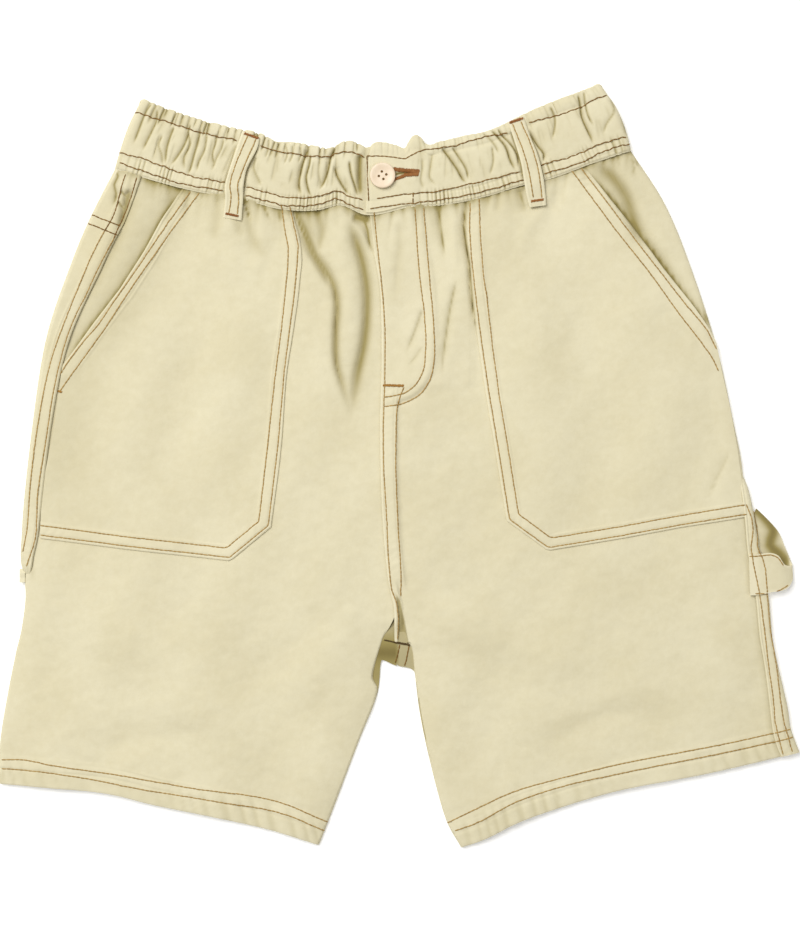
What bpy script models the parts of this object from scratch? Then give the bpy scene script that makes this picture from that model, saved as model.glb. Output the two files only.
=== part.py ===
"""Chino shorts with a gathered waist, lying flat on their back with the front up.

Metres, +Z up. +X is the wearer's left, +Y points to the waist, z = 0 is the surface they lie on.
Every cloth piece is a wall: an outer skin laid on the garment's form, then given its thickness.
"""

import math
from collections import namedtuple

import bmesh
import bpy
import numpy as np
from mathutils import Vector

MM = 0.001

# Walls and clearances
CLOTH = 1.2 * MM  # fronts, backs and yokes
POCKET_CLOTH = 1.0 * MM
BAND_CLOTH = 2.2 * MM  # waistband with its elastic
BAND_BACK_CLOTH = 2.4 * MM
BAND_BACK_DEPTH = 0.93  # of the front's, so that the back stays hidden
GAP = 0.3 * MM  # between pieces that lie on each other
LAP_GAP = 0.6 * MM  # under a lapped seam
SEAM_GAP = 0.6 * MM  # between edges that meet in plan

# Heights of the outer skin above the surface
FRONT_HEIGHT = 5.0 * MM
INSEAM_HEIGHT = 2.8 * MM  # the front lies on the back at the inner leg
BAND_HEIGHT = 7.8 * MM
TAB_HEIGHT = 8.2 * MM
UNDER_TAB_HEIGHT = 5.6 * MM

# Edges that roll
SIDE_RADIUS = 3.0 * MM
SIDE_ROLL = 8.0 * MM
SIDE_DROP = 0.3
INSEAM_ROLL = 7.0 * MM
FRONT_SIDE_START = 5.2 * MM  # how far in from the side a front begins
SEAM_LAP = 7.0 * MM  # how far a front runs on under a lapped seam
ROW_STEP = 26.0 * MM  # longest stretch between two rows of faces

# Fly
FLY_WIDTH = 34.0 * MM
FLY_BOTTOM_Y = 44.0 * MM
CROTCH_LAP = 9.0 * MM
CROTCH_Y = -113.0 * MM
TUCK_FADE = 30.0 * MM  # above the crotch, where the right front's tucked edge narrows to nothing
LAP_EASE = 8.0 * MM

# Waistband gathers
Wave = namedtuple("Wave", "pitch share phase")
GATHER_WAVES = (Wave(11.0 * MM, 0.6, 0.4), Wave(17.3 * MM, 0.4, 1.9))
GATHER_DEPTH = 0.8 * MM
GATHER_AT_SEAM = 0.35  # of the full depth, which is reached half-way up the band
GATHER_AT_TOP = 1.3  # of the full depth, at the top edge
GATHER_TOP_START = 0.8  # where along the band's height the top edge's part begins
GATHER_STEP = 3.1 * MM
TAB_ROOT_X = 9.0 * MM
TAB_END_X = -22.0 * MM
UNDER_TAB_END_X = -4.0 * MM
TAB_CLEARANCE = 1.3 * MM  # between the tab's end and where the band starts to rise from under it
TAB_END_EASE = 8.8 * MM
TAB_ROOT_EASE = 11.0 * MM
BAND_WRAP = 9.0 * MM

# One row for each cross-section of a leg: where it meets the side, how far in from the side the side
# seam's edge lies, where the front and the back end at the middle or the inner leg, how far the
# section bows towards the waist, and whether front and back are closed together there (1) or not (0).
Section = namedtuple(
    "Section", "name side_x side_y seam_in front_x front_y back_x back_y bow closed"
)
RIGHT_LEG = (
    Section("waist", -190.9, 198.7, 17.5, -20.3, 168.0, -8.2, 163.0, 0.0, 0),
    Section("yoke", -206.6, 168.0, 21.0, -17.4, 143.3, -7.6, 126.0, -4.0, 0),
    Section("high hip", -219.6, 137.3, 22.0, -12.9, 112.0, -7.0, 100.0, -3.0, 0),
    Section("hip", -236.5, 87.4, 16.5, -12.3, 70.0, -6.0, 70.0, -2.0, 0),
    Section("fly end", -245.9, 29.1, 15.0, -13.3, 25.0, -5.0, 25.0, 0.0, 0),
    Section("pocket base", -253.0, -39.5, 12.5, -12.0, -30.0, -3.8, -30.0, 0.0, 0),
    Section("seam turn", -253.7, -62.6, 9.0, -6.5, -75.0, -2.9, -75.0, 0.0, 0),
    Section("crotch", -250.6, -85.0, 5.0, -2.4, -113.0, -2.0, -113.0, 0.0, 0),
    Section("fork", -253.3, -108.0, 5.0, -13.0, -127.0, -1.6, -131.0, 0.0, 1),
    Section("thigh", -257.0, -130.0, 5.0, -18.5, -146.0, -19.0, -147.0, 0.0, 1),
    Section("mid leg", -262.0, -160.0, 5.0, -19.1, -165.0, -19.1, -165.0, 2.0, 1),
    Section("low leg", -265.5, -183.0, 5.0, -31.0, -193.0, -31.0, -193.0, 4.0, 1),
    Section("above hem", -267.1, -203.0, 5.0, -44.5, -229.0, -44.5, -229.0, 6.0, 1),
    Section("hem", -266.3, -212.7, 5.0, -54.3, -253.9, -54.3, -253.9, 7.0, 1),
)
LEFT_LEG = (
    Section("waist", 154.5, 211.1, 5.0, -20.3, 168.0, -7.8, 163.0, 0.0, 0),
    Section("yoke", 176.2, 174.9, 5.0, -17.4, 143.3, -7.2, 126.0, -5.0, 0),
    Section("high hip", 195.5, 131.1, 5.0, -12.9, 112.0, -6.6, 100.0, -3.0, 0),
    Section("hip", 212.9, 76.7, 5.0, -12.3, 70.0, -5.6, 70.0, -1.0, 0),
    Section("fly end", 223.8, 20.6, 5.0, -13.3, 25.0, -4.6, 25.0, 0.0, 0),
    Section("pocket base", 235.6, -25.5, 5.5, -12.0, -30.0, -3.4, -30.0, 0.0, 0),
    Section("hammer loop", 241.0, -58.0, 9.0, -6.5, -75.0, -2.5, -75.0, 0.0, 0),
    Section("crotch", 245.6, -85.4, 9.0, -2.4, -113.0, -1.6, -113.0, 0.0, 0),
    Section("fork", 248.2, -116.2, 8.5, 8.0, -124.0, -1.2, -131.0, 0.0, 1),
    Section("thigh", 252.0, -135.0, 9.0, 10.5, -138.0, 10.5, -138.0, 0.0, 1),
    Section("mid leg", 257.0, -160.0, 11.0, 15.0, -170.0, 15.0, -170.0, 3.0, 1),
    Section("low leg", 261.5, -175.0, 13.0, 22.5, -208.0, 22.5, -208.0, 5.0, 1),
    Section("above hem", 264.5, -184.0, 13.5, 31.0, -237.5, 31.0, -237.5, 7.0, 1),
    Section("hem", 267.5, -191.5, 13.5, 40.9, -255.6, 40.9, -255.6, 8.5, 1),
)

# Stations along the waistband: its seam on the shorts and its top edge.
BandStation = namedtuple("BandStation", "name seam_x seam_y top_x top_y")
BAND = (
    BandStation("right side", -190.9, 198.7, -174.2, 244.9),
    BandStation("right hip", -134.0, 183.4, -122.0, 227.5),
    BandStation("right loop", -107.0, 179.0, -96.0, 221.5),
    BandStation("right hollow", -78.4, 171.8, -71.0, 215.0),
    BandStation("right front", -53.6, 171.5, -50.0, 212.0),
    BandStation("right gather", -40.0, 174.5, -37.5, 215.8),
    BandStation("tab edge", -24.0, 168.5, -21.5, 213.0),
    BandStation("tab root", 8.4, 173.5, 5.5, 215.6),
    BandStation("left gather", 26.8, 174.5, 24.5, 215.9),
    BandStation("left front", 57.4, 180.4, 49.0, 218.5),
    BandStation("left loop", 82.0, 187.9, 71.5, 228.6),
    BandStation("left hollow", 98.5, 191.7, 84.8, 235.0),
    BandStation("left hip", 127.3, 202.2, 109.5, 245.0),
    BandStation("left side", 154.5, 211.1, 135.2, 255.5),
)

# The largest folds of the fronts: a soft trough (depth below 0) or ridge from one end to the other.
Fold = namedtuple("Fold", "name x0 y0 x1 y1 width depth")
FOLDS = (
    Fold("drag from the waist", -68.0, 160.0, -46.0, 134.0, 6.5, -1.7),
    Fold("drag down the front", -45.0, 132.0, -41.0, 82.0, 6.5, -1.9),
    Fold("fold beside the fly", -24.0, 142.0, -27.0, 60.0, 5.5, -1.3),
    Fold("fold left of the fly", 40.0, 160.0, 34.0, 88.0, 7.0, -1.2),
    Fold("right pocket outer swell", -186.0, 96.0, -196.0, -30.0, 20.0, 0.9),
    Fold("right pocket inner swell", -112.0, 150.0, -128.0, -40.0, 18.0, 0.8),
    Fold("left pocket outer swell", 172.0, 104.0, 188.0, -20.0, 17.0, 0.8),
    Fold("left pocket inner swell", 96.0, 150.0, 118.0, -30.0, 17.0, 0.9),
    Fold("right thigh ridge", -34.0, -98.0, -82.0, -166.0, 13.0, 1.2),
    Fold("right hem drag", -204.0, -190.0, -126.0, -180.0, 11.0, -1.2),
    Fold("left crotch ridge", 22.0, -94.0, 140.0, -142.0, 15.0, 1.2),
    Fold("left hem drag", 98.0, -190.0, 178.0, -176.0, 11.0, -1.2),
)
FOLD_END = 12.0  # mm over which a fold dies out past its ends

# Patch pockets: the mouth from the side up, the inner edge and bottom from the waist down, the stretch
# of the side seam they meet, and the stretch of the waist seam.
PocketEdge = namedtuple("PocketEdge", "mouth inner_and_bottom side_top_y side_bottom_y waist_x")
RIGHT_POCKET = PocketEdge(
    mouth=((-206.5, 93.1), (-186.8, 118.1), (-171.0, 143.4), (-159.5, 164.6)),
    inner_and_bottom=((-66.5, 151.0), (-67.7, 111.0), (-76.6, 56.0), (-80.7, 15.0),
                      (-86.2, -41.0), (-113.5, -63.4), (-186.0, -55.3)),
    side_top_y=76.0,
    side_bottom_y=-44.0,
    waist_x=(-146.5, -77.0),
)
LEFT_POCKET = PocketEdge(
    mouth=((199.7, 101.0), (164.2, 144.8)),
    inner_and_bottom=((45.1, 149.0), (47.8, 114.7), (58.1, 43.9), (71.4, -36.8),
                      (98.7, -56.6), (149.3, -48.4), (190.3, -40.9)),
    side_top_y=84.0,
    side_bottom_y=-30.0,
    waist_x=(124.0, 44.4),
)

# Belt loops: strap centre at the waistband's top and below its seam.
LoopPath = namedtuple("LoopPath", "name top_x top_y foot_x foot_y")
BELT_LOOPS = (
    LoopPath("belt_loop_right", -100.0, 221.0, -112.4, 164.5),
    LoopPath("belt_loop_left", 78.3, 231.5, 91.8, 174.0),
)
# Height of a belt loop's underside along it.
LoopRise = namedtuple("LoopRise", "along height")
LOOP_RISE = (
    LoopRise(0.0, 9.0),
    LoopRise(0.15, 9.3),
    LoopRise(0.45, 9.6),
    LoopRise(0.7, 9.2),
    LoopRise(0.8, 8.8),
    LoopRise(0.9, 7.4),
    LoopRise(1.0, 6.9),
)
LOOP_WIDTH = 12.3 * MM
LOOP_CLOTH = 1.5 * MM

BUTTON_CENTRE = (-11.6 * MM, 193.6 * MM)
# Half of the button's outline, from the middle of its face over the rim to the middle of its back.
ProfilePoint = namedtuple("ProfilePoint", "radius height")
BUTTON_PROFILE = (
    ProfilePoint(0.0, 1.9),
    ProfilePoint(5.9, 1.9),
    ProfilePoint(6.7, 2.5),
    ProfilePoint(7.5, 2.6),
    ProfilePoint(8.2, 2.2),
    ProfilePoint(8.5, 1.3),
    ProfilePoint(7.8, 0.3),
    ProfilePoint(6.9, 0.0),
    ProfilePoint(0.0, 0.0),
)
HOLE_RADIUS = 0.9 * MM
HOLE_DEPTH = 10.0 * MM
HOLE_SPREAD = 2.6 * MM  # from the button's centre
HOLE_TURN = math.radians(12)
HOLE_SIDES = 12
HOLE_COUNT = 4

# Hammer loop: its two edges and the strap's middle height, from the seam outwards, round the end and back.
StrapStation = namedtuple("StrapStation", "low_x low_y high_x high_y z")
HAMMER_LOOP = (
    StrapStation(232.4, -86.0, 232.6, -60.4, 7.3),
    StrapStation(240.0, -85.8, 240.5, -59.2, 7.3),
    StrapStation(247.5, -85.4, 248.6, -58.8, 7.2),
    StrapStation(255.0, -83.2, 254.8, -62.0, 7.0),
    StrapStation(260.4, -79.0, 259.8, -65.2, 5.8),
    StrapStation(262.9, -74.0, 262.6, -64.4, 3.4),
    StrapStation(259.6, -71.0, 260.4, -59.0, 1.3),
    StrapStation(252.4, -65.0, 256.8, -49.6, 0.6),
    StrapStation(246.4, -56.0, 250.4, -40.6, 0.6),
    StrapStation(242.4, -44.0, 244.4, -34.4, 0.6),
    StrapStation(239.4, -34.4, 240.2, -30.4, 0.6),
)
STRAP_ROWS = 21
STRAP_CLOTH = 1.2 * MM

# How finely each skin is divided
WIDE_SHARE = 0.62  # of a front's width, from its side edge, that has the wide columns
WIDE_COLUMNS = 7
NARROW_COLUMNS = 10
FRONT_COLUMNS = [WIDE_SHARE * index / WIDE_COLUMNS for index in range(WIDE_COLUMNS)]
FRONT_COLUMNS += [
    WIDE_SHARE + (1 - WIDE_SHARE) * index / NARROW_COLUMNS for index in range(NARROW_COLUMNS + 1)
]
LAP_COLUMNS = (0.0, 0.5, 1.0)
ROLL_ANGLES = [math.radians(angle) for angle in (60, 30, 0, -30, -60)]
UNDER_COLUMNS = (0.0, 0.25, 0.5, 0.75, 1.0)
UNDERLAP_COLUMNS = (0.0, 0.33, 0.67, 1.0)
UNDERLAP_LAST_ROW = 4  # of the leg's table
BAND_ROWS = (0.0, 0.12, 0.5, 0.83, 1.0)
BAND_BACK_SPANS = 4  # on each side of the middle
WAIST_FADE = 2.0  # table rows over which the waist seam's shape dies out
WAIST_STEP = 8.0  # mm between the points of a pocket's top edge
LOOP_ROWS = 9
LEVEL = 0.9  # a face whose normal has this much of Z counts as level
BUTTON_STEPS = 28
CUT_TOLERANCE = 0.001 * MM
MERGE_DISTANCE = 0.01 * MM

SIDE_TAB_CENTRE = (-254.1 * MM, -73.5 * MM, 2.6 * MM)
SIDE_TAB_SIZE = (1.4 * MM, 9.0 * MM, 1.4 * MM)

CREAM = (0.79, 0.73, 0.51, 1.0)
HORN = (0.84, 0.68, 0.50, 1.0)
CLOTH_ROUGHNESS = 0.9
HORN_ROUGHNESS = 0.35


def clear_scene():
    for obj in list(bpy.data.objects):
        bpy.data.objects.remove(obj, do_unlink=True)


def material(name, colour, roughness):
    made = bpy.data.materials.new(name)
    made.use_nodes = True
    shader = made.node_tree.nodes["Principled BSDF"]
    shader.inputs["Base Color"].default_value = colour
    shader.inputs["Roughness"].default_value = roughness
    shader.inputs["Metallic"].default_value = 0.0
    return made


def smooth_curve(keys, values, at):
    """A smooth curve through values at rising keys, read at one place."""
    index = min(max(int(np.searchsorted(keys, at)) - 1, 0), len(keys) - 2)
    slopes = np.gradient(values, keys, axis=0)
    span = keys[index + 1] - keys[index]
    part = (at - keys[index]) / span
    square, cube = part * part, part * part * part
    return (
        (2 * cube - 3 * square + 1) * values[index]
        + (cube - 2 * square + part) * span * slopes[index]
        + (3 * square - 2 * cube) * values[index + 1]
        + (cube - square) * span * slopes[index + 1]
    )


def ease(part):
    """0 to 1 with a soft start and end."""
    part = min(max(part, 0.0), 1.0)
    return part * part * (3 - 2 * part)


BAND_KEYS = np.array([station.seam_x for station in BAND]) * MM
BAND_VALUES = np.array([station[1:] for station in BAND]) * MM


def band_station(x):
    """Seam point and top point of the waistband where its seam is at x."""
    seam_x, seam_y, top_x, top_y = smooth_curve(BAND_KEYS, BAND_VALUES, x)
    return Vector((seam_x, seam_y)), Vector((top_x, top_y))


def front_waist(x):
    return band_station(min(max(x, BAND_KEYS[0]), BAND_KEYS[-1]))[0].y


def back_waist(x):
    """The back's waist seam: straight from each side to the middle."""
    side = RIGHT_LEG[0] if x < RIGHT_LEG[0].back_x * MM else LEFT_LEG[0]
    part = (x / MM - side.side_x) / (side.back_x - side.side_x)
    return (side.side_y + (side.back_y - side.side_y) * part) * MM


def fold_relief(x, y):
    """Height that the folds add at a place on the front."""
    relief = 0.0
    for fold in FOLDS:
        along = Vector((fold.x1 - fold.x0, fold.y1 - fold.y0))
        length = along.length
        along.normalize()
        offset = Vector((x / MM - fold.x0, y / MM - fold.y0))
        run = offset.dot(along)
        across = abs(offset.x * along.y - offset.y * along.x)
        past = max(-run, run - length, 0.0)
        if past < FOLD_END:
            relief += fold.depth * math.exp(-((across / fold.width) ** 2)) * (1 - ease(past / FOLD_END))
    return relief * MM


def cloth_height(x, y, from_side, from_inseam, closed):
    """Outer skin of the front, which rolls down to the side and to the closed inner leg."""
    height = FRONT_HEIGHT * (1 - SIDE_DROP * math.exp(-from_side / SIDE_ROLL))
    from_waist = max(front_waist(x) - y, 0.0)
    height += fold_relief(x, y) * ease(from_waist / (4 * SIDE_ROLL)) * ease(from_side / (2 * SIDE_ROLL))
    edge = closed * math.exp(-max(from_inseam, 0.0) / INSEAM_ROLL)
    return max(height * (1 - edge) + INSEAM_HEIGHT * edge, INSEAM_HEIGHT)


def leg_rows(leg, first, last):
    """Sections between two table rows, close enough together for the form."""
    table = np.array([row[1:] for row in leg], dtype=float)
    table[:, :8] *= MM
    keys = np.arange(len(leg), dtype=float)
    places = []
    for index in range(first, last):
        step = Vector(table[index + 1, :2] - table[index, :2]).length
        count = max(1, round(step / ROW_STEP))
        places += [index + part / count for part in range(count)]
    places.append(float(last))
    rows = []
    for place in places:
        values = smooth_curve(keys, table, place)
        values[-1] = min(max(values[-1], 0.0), 1.0)
        rows.append(Section("row", *values))
    return rows, places


def inner_point(row, on_back):
    return Vector((row.back_x, row.back_y)) if on_back else Vector((row.front_x, row.front_y))


def section_point(row, run, on_back):
    """Plan point at a distance in from the side along a section."""
    side = Vector((row.side_x, row.side_y))
    inner = inner_point(row, on_back)
    length = (inner - side).length
    part = run / length
    point = side + (inner - side) * part
    point.y += row.bow * 4 * part * (1 - part)
    return point


def section_length(row, on_back):
    return (inner_point(row, on_back) - Vector((row.side_x, row.side_y))).length


def waist_shift(leg, place, part):
    """How far the first rows move along Y so that the topmost follows the front's waist seam."""
    top = leg[0]
    x = (top.side_x + (top.front_x - top.side_x) * part) * MM
    straight = (top.side_y + (top.front_y - top.side_y) * part) * MM
    return (front_waist(x) - SEAM_GAP - straight) * (1 - ease(place / WAIST_FADE))


def front_plan(leg, row, place, run):
    point = section_point(row, run, False)
    point.y += waist_shift(leg, place, run / section_length(row, False))
    return point


def lap_width(y):
    """Width of the lapped strip in the middle: the fly, whose end is round, then the crotch seam."""
    down = min(max((FLY_BOTTOM_Y + FLY_WIDTH - y) / FLY_WIDTH, 0.0), 1.0)
    return CROTCH_LAP + (FLY_WIDTH - CROTCH_LAP) * math.sqrt(1 - down * down)


def front_skin_points(leg, laps_over):
    """Outer skin of a front, row by row from the waist to the hem."""
    rows, places = leg_rows(leg, 0, len(leg) - 1)
    points = []
    for row, place in zip(rows, places):
        length = section_length(row, False)
        begin = max(FRONT_SIDE_START, row.seam_in - SEAM_LAP)
        tuck = 0.0 if laps_over else CROTCH_LAP * ease((row.front_y - CROTCH_Y) / TUCK_FADE)
        line = []
        for fraction in FRONT_COLUMNS:
            run = begin + (length + tuck - begin) * fraction
            point = front_plan(leg, row, place, run)
            height = cloth_height(point.x, point.y, run, length - run, row.closed)
            if laps_over:
                past = (length - run - lap_width(point.y)) / LAP_EASE
                height += (CLOTH + LAP_GAP) * (1 - ease(past)) * (1 - row.closed)
            line.append(Vector((point.x, point.y, height)))
        points.append(line)
    return points


def back_skin_points(leg, first, last, gap_first, gap_last):
    """Outer skin of a back: the strip lapped on the front, round the side, and flat underneath."""
    rows, places = leg_rows(leg, first, last)
    points = []
    for row, place in zip(rows, places):
        drop = gap_first if place == first else -gap_last if place == last else 0.0
        line = []
        for part in LAP_COLUMNS:
            run = row.seam_in + (SIDE_RADIUS - row.seam_in) * part
            point = front_plan(leg, row, place, run)
            height = cloth_height(point.x, point.y, run, math.inf, 0) + CLOTH + LAP_GAP
            line.append(Vector((point.x, point.y - drop, height)))
        top = line[-1].z
        for angle in ROLL_ANGLES:
            point = front_plan(leg, row, place, SIDE_RADIUS * (1 - math.cos(angle)))
            line.append(Vector((point.x, point.y - drop, top / 2 * (1 + math.sin(angle)))))
        length = section_length(row, True)
        for part in UNDER_COLUMNS:
            point = section_point(row, SIDE_RADIUS + (length - SIDE_RADIUS) * part, True)
            point.y -= SEAM_GAP * (1 - ease(place / WAIST_FADE)) + drop
            line.append(Vector((point.x, point.y, 0.0)))
        points.append(line)
    return points


def skin_mesh(name, points, facing):
    """A grid laid on rows of points, in triangles, with its largest level face turned up (1) or down (-1)."""
    rows = len(points)
    columns = len(points[0])
    shape = bmesh.new()
    bmesh.ops.create_grid(shape, x_segments=columns - 1, y_segments=rows - 1, size=1.0)
    for vert in shape.verts:
        column = round((vert.co.x + 1) / 2 * (columns - 1))
        row = round((vert.co.y + 1) / 2 * (rows - 1))
        vert.co = points[row][column]
    bmesh.ops.triangulate(shape, faces=shape.faces)
    shape.normal_update()
    largest = max(shape.faces, key=lambda face: face.calc_area() * (abs(face.normal.z) > LEVEL))
    if largest.normal.z * facing < 0:
        bmesh.ops.reverse_faces(shape, faces=shape.faces)
    mesh = bpy.data.meshes.new(name)
    shape.to_mesh(mesh)
    shape.free()
    return mesh


def cloth_object(name, mesh, thickness, offset, finish, collection):
    """A wall of cloth: the skin given its thickness inwards (offset -1) or outwards (1)."""
    obj = bpy.data.objects.new(name, mesh)
    collection.objects.link(obj)
    wall = obj.modifiers.new("Wall", "SOLIDIFY")
    wall.thickness = thickness
    wall.offset = offset
    wall.use_rim = True
    obj.data.materials.append(finish)
    return obj


def inside(point, outline):
    """Whether a plan point lies inside a closed outline."""
    crossings = 0
    for start, end in zip(outline, outline[1:] + outline[:1]):
        if (start.y > point.y) != (end.y > point.y):
            x = start.x + (point.y - start.y) / (end.y - start.y) * (end.x - start.x)
            crossings += x > point.x
    return crossings % 2 == 1


def cut_to_outline(shape, outline):
    """Cut a skin along an outline seen from above and keep what lies inside it."""
    for start, end in zip(outline, outline[1:] + outline[:1]):
        low = Vector((min(start.x, end.x) - MM, min(start.y, end.y) - MM))
        high = Vector((max(start.x, end.x) + MM, max(start.y, end.y) + MM))
        near = []
        for face in shape.faces:
            xs = [vert.co.x for vert in face.verts]
            ys = [vert.co.y for vert in face.verts]
            if min(xs) < high.x and max(xs) > low.x and min(ys) < high.y and max(ys) > low.y:
                near.append(face)
        edges = {edge for face in near for edge in face.edges}
        verts = {vert for face in near for vert in face.verts}
        across = Vector((end.y - start.y, start.x - end.x, 0.0)).normalized()
        bmesh.ops.bisect_plane(
            shape,
            geom=near + list(edges) + list(verts),
            plane_co=(start.x, start.y, 0.0),
            plane_no=across,
            dist=CUT_TOLERANCE,
        )
    outer = [face for face in shape.faces if not inside(face.calc_center_median(), outline)]
    bmesh.ops.delete(shape, geom=outer, context="FACES")


def pocket_outline(leg, pocket):
    """Outline of a patch pocket: along the waist, the inner edge, the bottom, the side and the mouth."""
    start, end = pocket.waist_x
    count = round(abs(end - start) / WAIST_STEP)
    outline = []
    for index in range(count + 1):
        x = (start + (end - start) * index / count) * MM
        outline.append(Vector((x, front_waist(x) - 2 * SEAM_GAP)))
    outline += [Vector(point) * MM for point in pocket.inner_and_bottom]
    rows, places = leg_rows(leg, 0, len(leg) - 1)
    side = []
    for row, place in zip(rows, places):
        point = front_plan(leg, row, place, row.seam_in + SEAM_GAP)
        if pocket.side_bottom_y * MM < point.y < pocket.side_top_y * MM:
            side.append(point)
    outline += reversed(side)
    outline += [Vector(point) * MM for point in pocket.mouth]
    return outline


def build_pocket(name, leg, pocket, front_mesh, finish, collection):
    """A patch pocket: the front's own faces inside its outline, moved out by the gap."""
    shape = bmesh.new()
    shape.from_mesh(front_mesh)
    cut_to_outline(shape, pocket_outline(leg, pocket))
    bmesh.ops.translate(shape, verts=shape.verts, vec=(0.0, 0.0, GAP))
    mesh = bpy.data.meshes.new(name)
    shape.to_mesh(mesh)
    shape.free()
    return cloth_object(name, mesh, POCKET_CLOTH, 1.0, finish, collection)


def build_legs(finish, collection):
    for side, leg, pocket in (("right", RIGHT_LEG, RIGHT_POCKET), ("left", LEFT_LEG, LEFT_POCKET)):
        front = skin_mesh(f"front_{side}", front_skin_points(leg, side == "left"), 1)
        cloth_object(front.name, front, CLOTH, -1.0, finish, collection)
        build_pocket(f"patch_pocket_{side}", leg, pocket, front, finish, collection)
        yoke = skin_mesh(f"back_yoke_{side}", back_skin_points(leg, 0, 1, 0.0, GAP), -1)
        cloth_object(yoke.name, yoke, CLOTH, -1.0, finish, collection)
        back = skin_mesh(f"back_{side}", back_skin_points(leg, 1, len(leg) - 1, GAP, 0.0), -1)
        cloth_object(back.name, back, CLOTH, -1.0, finish, collection)


def build_underlap(finish, collection):
    """The strip sewn to the right front's edge, under the fly."""
    rows, places = leg_rows(LEFT_LEG, 0, UNDERLAP_LAST_ROW)
    points = []
    for row, place in zip(rows, places):
        if row.front_y < FLY_BOTTOM_Y + CROTCH_LAP:
            continue
        length = section_length(row, False)
        line = []
        for part in UNDERLAP_COLUMNS:
            start = CROTCH_LAP + SEAM_GAP
            from_edge = start + (lap_width(row.front_y) - GAP - start) * part
            point = front_plan(LEFT_LEG, row, place, length - from_edge)
            height = cloth_height(point.x, point.y, length - from_edge, math.inf, 0)
            line.append(Vector((point.x, point.y, height)))
        points.append(line)
    mesh = skin_mesh("fly_underlap", points, 1)
    cloth_object(mesh.name, mesh, CLOTH, -1.0, finish, collection)


def gather(x, across, from_side):
    """Height that the waistband's gathers add."""
    height = sum(wave.share * math.cos(2 * math.pi * x / wave.pitch + wave.phase) for wave in GATHER_WAVES)
    strength = GATHER_AT_SEAM + (1 - GATHER_AT_SEAM) * ease(2 * across)
    strength += (GATHER_AT_TOP - 1) * ease((across - GATHER_TOP_START) / (1 - GATHER_TOP_START))
    return GATHER_DEPTH * height * strength * ease((from_side - SIDE_RADIUS) / (2 * SIDE_ROLL))


def band_height(x, across, from_side, is_left):
    """Outer skin of the waistband's front, flat at the tab and low where it runs under it."""
    if is_left:
        free = ease((x - TAB_ROOT_X) / TAB_ROOT_EASE)
        return TAB_HEIGHT + (BAND_HEIGHT - TAB_HEIGHT) * free + gather(x, across, from_side) * free
    free = ease((TAB_END_X - TAB_CLEARANCE - x) / TAB_END_EASE)
    return UNDER_TAB_HEIGHT + (BAND_HEIGHT - UNDER_TAB_HEIGHT) * free + gather(x, across, from_side) * free


def band_points(is_left):
    """Outer skin of one half of the waistband's front, rolled round the side to the underside."""
    side_x = BAND_KEYS[-1] if is_left else BAND_KEYS[0]
    inwards = -1.0 if is_left else 1.0
    end_x = TAB_END_X if is_left else UNDER_TAB_END_X
    radius = BAND_HEIGHT / 2
    stretch = abs(end_x - side_x) - radius
    count = round(stretch / GATHER_STEP)
    profile = [(BAND_WRAP, 0.0, True)]
    for angle in reversed(ROLL_ANGLES):
        part = 1 + math.sin(angle)
        profile.append((radius * (1 - math.cos(angle)), BAND_HEIGHT / 2 * part, angle < 0))
    profile.insert(1, (radius, 0.0, True))
    profile += [(radius + stretch * index / count, None, False) for index in range(count + 1)]
    points = []
    for across in BAND_ROWS:
        line = []
        for run, height, under in profile:
            x = side_x + inwards * run
            seam, top = band_station(x)
            lean = top - seam
            if under:
                seam.y = back_waist(x)
            point = seam + lean * across
            if height is None:
                height = band_height(x, across, run, is_left)
            line.append(Vector((point.x, point.y, height)))
        points.append(line)
    return points


def build_waistband(finish, collection):
    for side in ("right", "left"):
        mesh = skin_mesh(f"waistband_{side}", band_points(side == "left"), -1)
        cloth_object(mesh.name, mesh, BAND_CLOTH, -1.0, finish, collection)
    start = BAND_KEYS[0] + BAND_WRAP + SEAM_GAP
    end = BAND_KEYS[-1] - BAND_WRAP - SEAM_GAP
    middle = RIGHT_LEG[0].back_x * MM
    stations = [start + (middle - start) * part / BAND_BACK_SPANS for part in range(BAND_BACK_SPANS)]
    stations += [middle + (end - middle) * part / BAND_BACK_SPANS for part in range(BAND_BACK_SPANS + 1)]
    points = []
    for across in BAND_ROWS[::2]:
        line = []
        for x in stations:
            seam, top = band_station(x)
            point = Vector((x, back_waist(x))) + (top - seam) * across * BAND_BACK_DEPTH
            line.append(Vector((point.x, point.y, 0.0)))
        points.append(line)
    mesh = skin_mesh("waistband_back", points, -1)
    cloth_object(mesh.name, mesh, BAND_BACK_CLOTH, -1.0, finish, collection)


def build_belt_loops(finish, collection):
    keys = np.array([rise.along for rise in LOOP_RISE])
    heights = np.array([rise.height for rise in LOOP_RISE]) * MM
    for path in BELT_LOOPS:
        top = Vector((path.top_x, path.top_y)) * MM
        foot = Vector((path.foot_x, path.foot_y)) * MM
        along = (foot - top).normalized()
        across = Vector((-along.y, along.x)) * LOOP_WIDTH / 2
        points = []
        for index in range(LOOP_ROWS + 1):
            part = index / LOOP_ROWS
            centre = top + (foot - top) * part
            height = float(smooth_curve(keys, heights, part))
            points.append([Vector((*(centre + across * edge), height)) for edge in (-1, 0, 1)])
        mesh = skin_mesh(path.name, points, 1)
        cloth_object(path.name, mesh, LOOP_CLOTH, 1.0, finish, collection)


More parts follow.
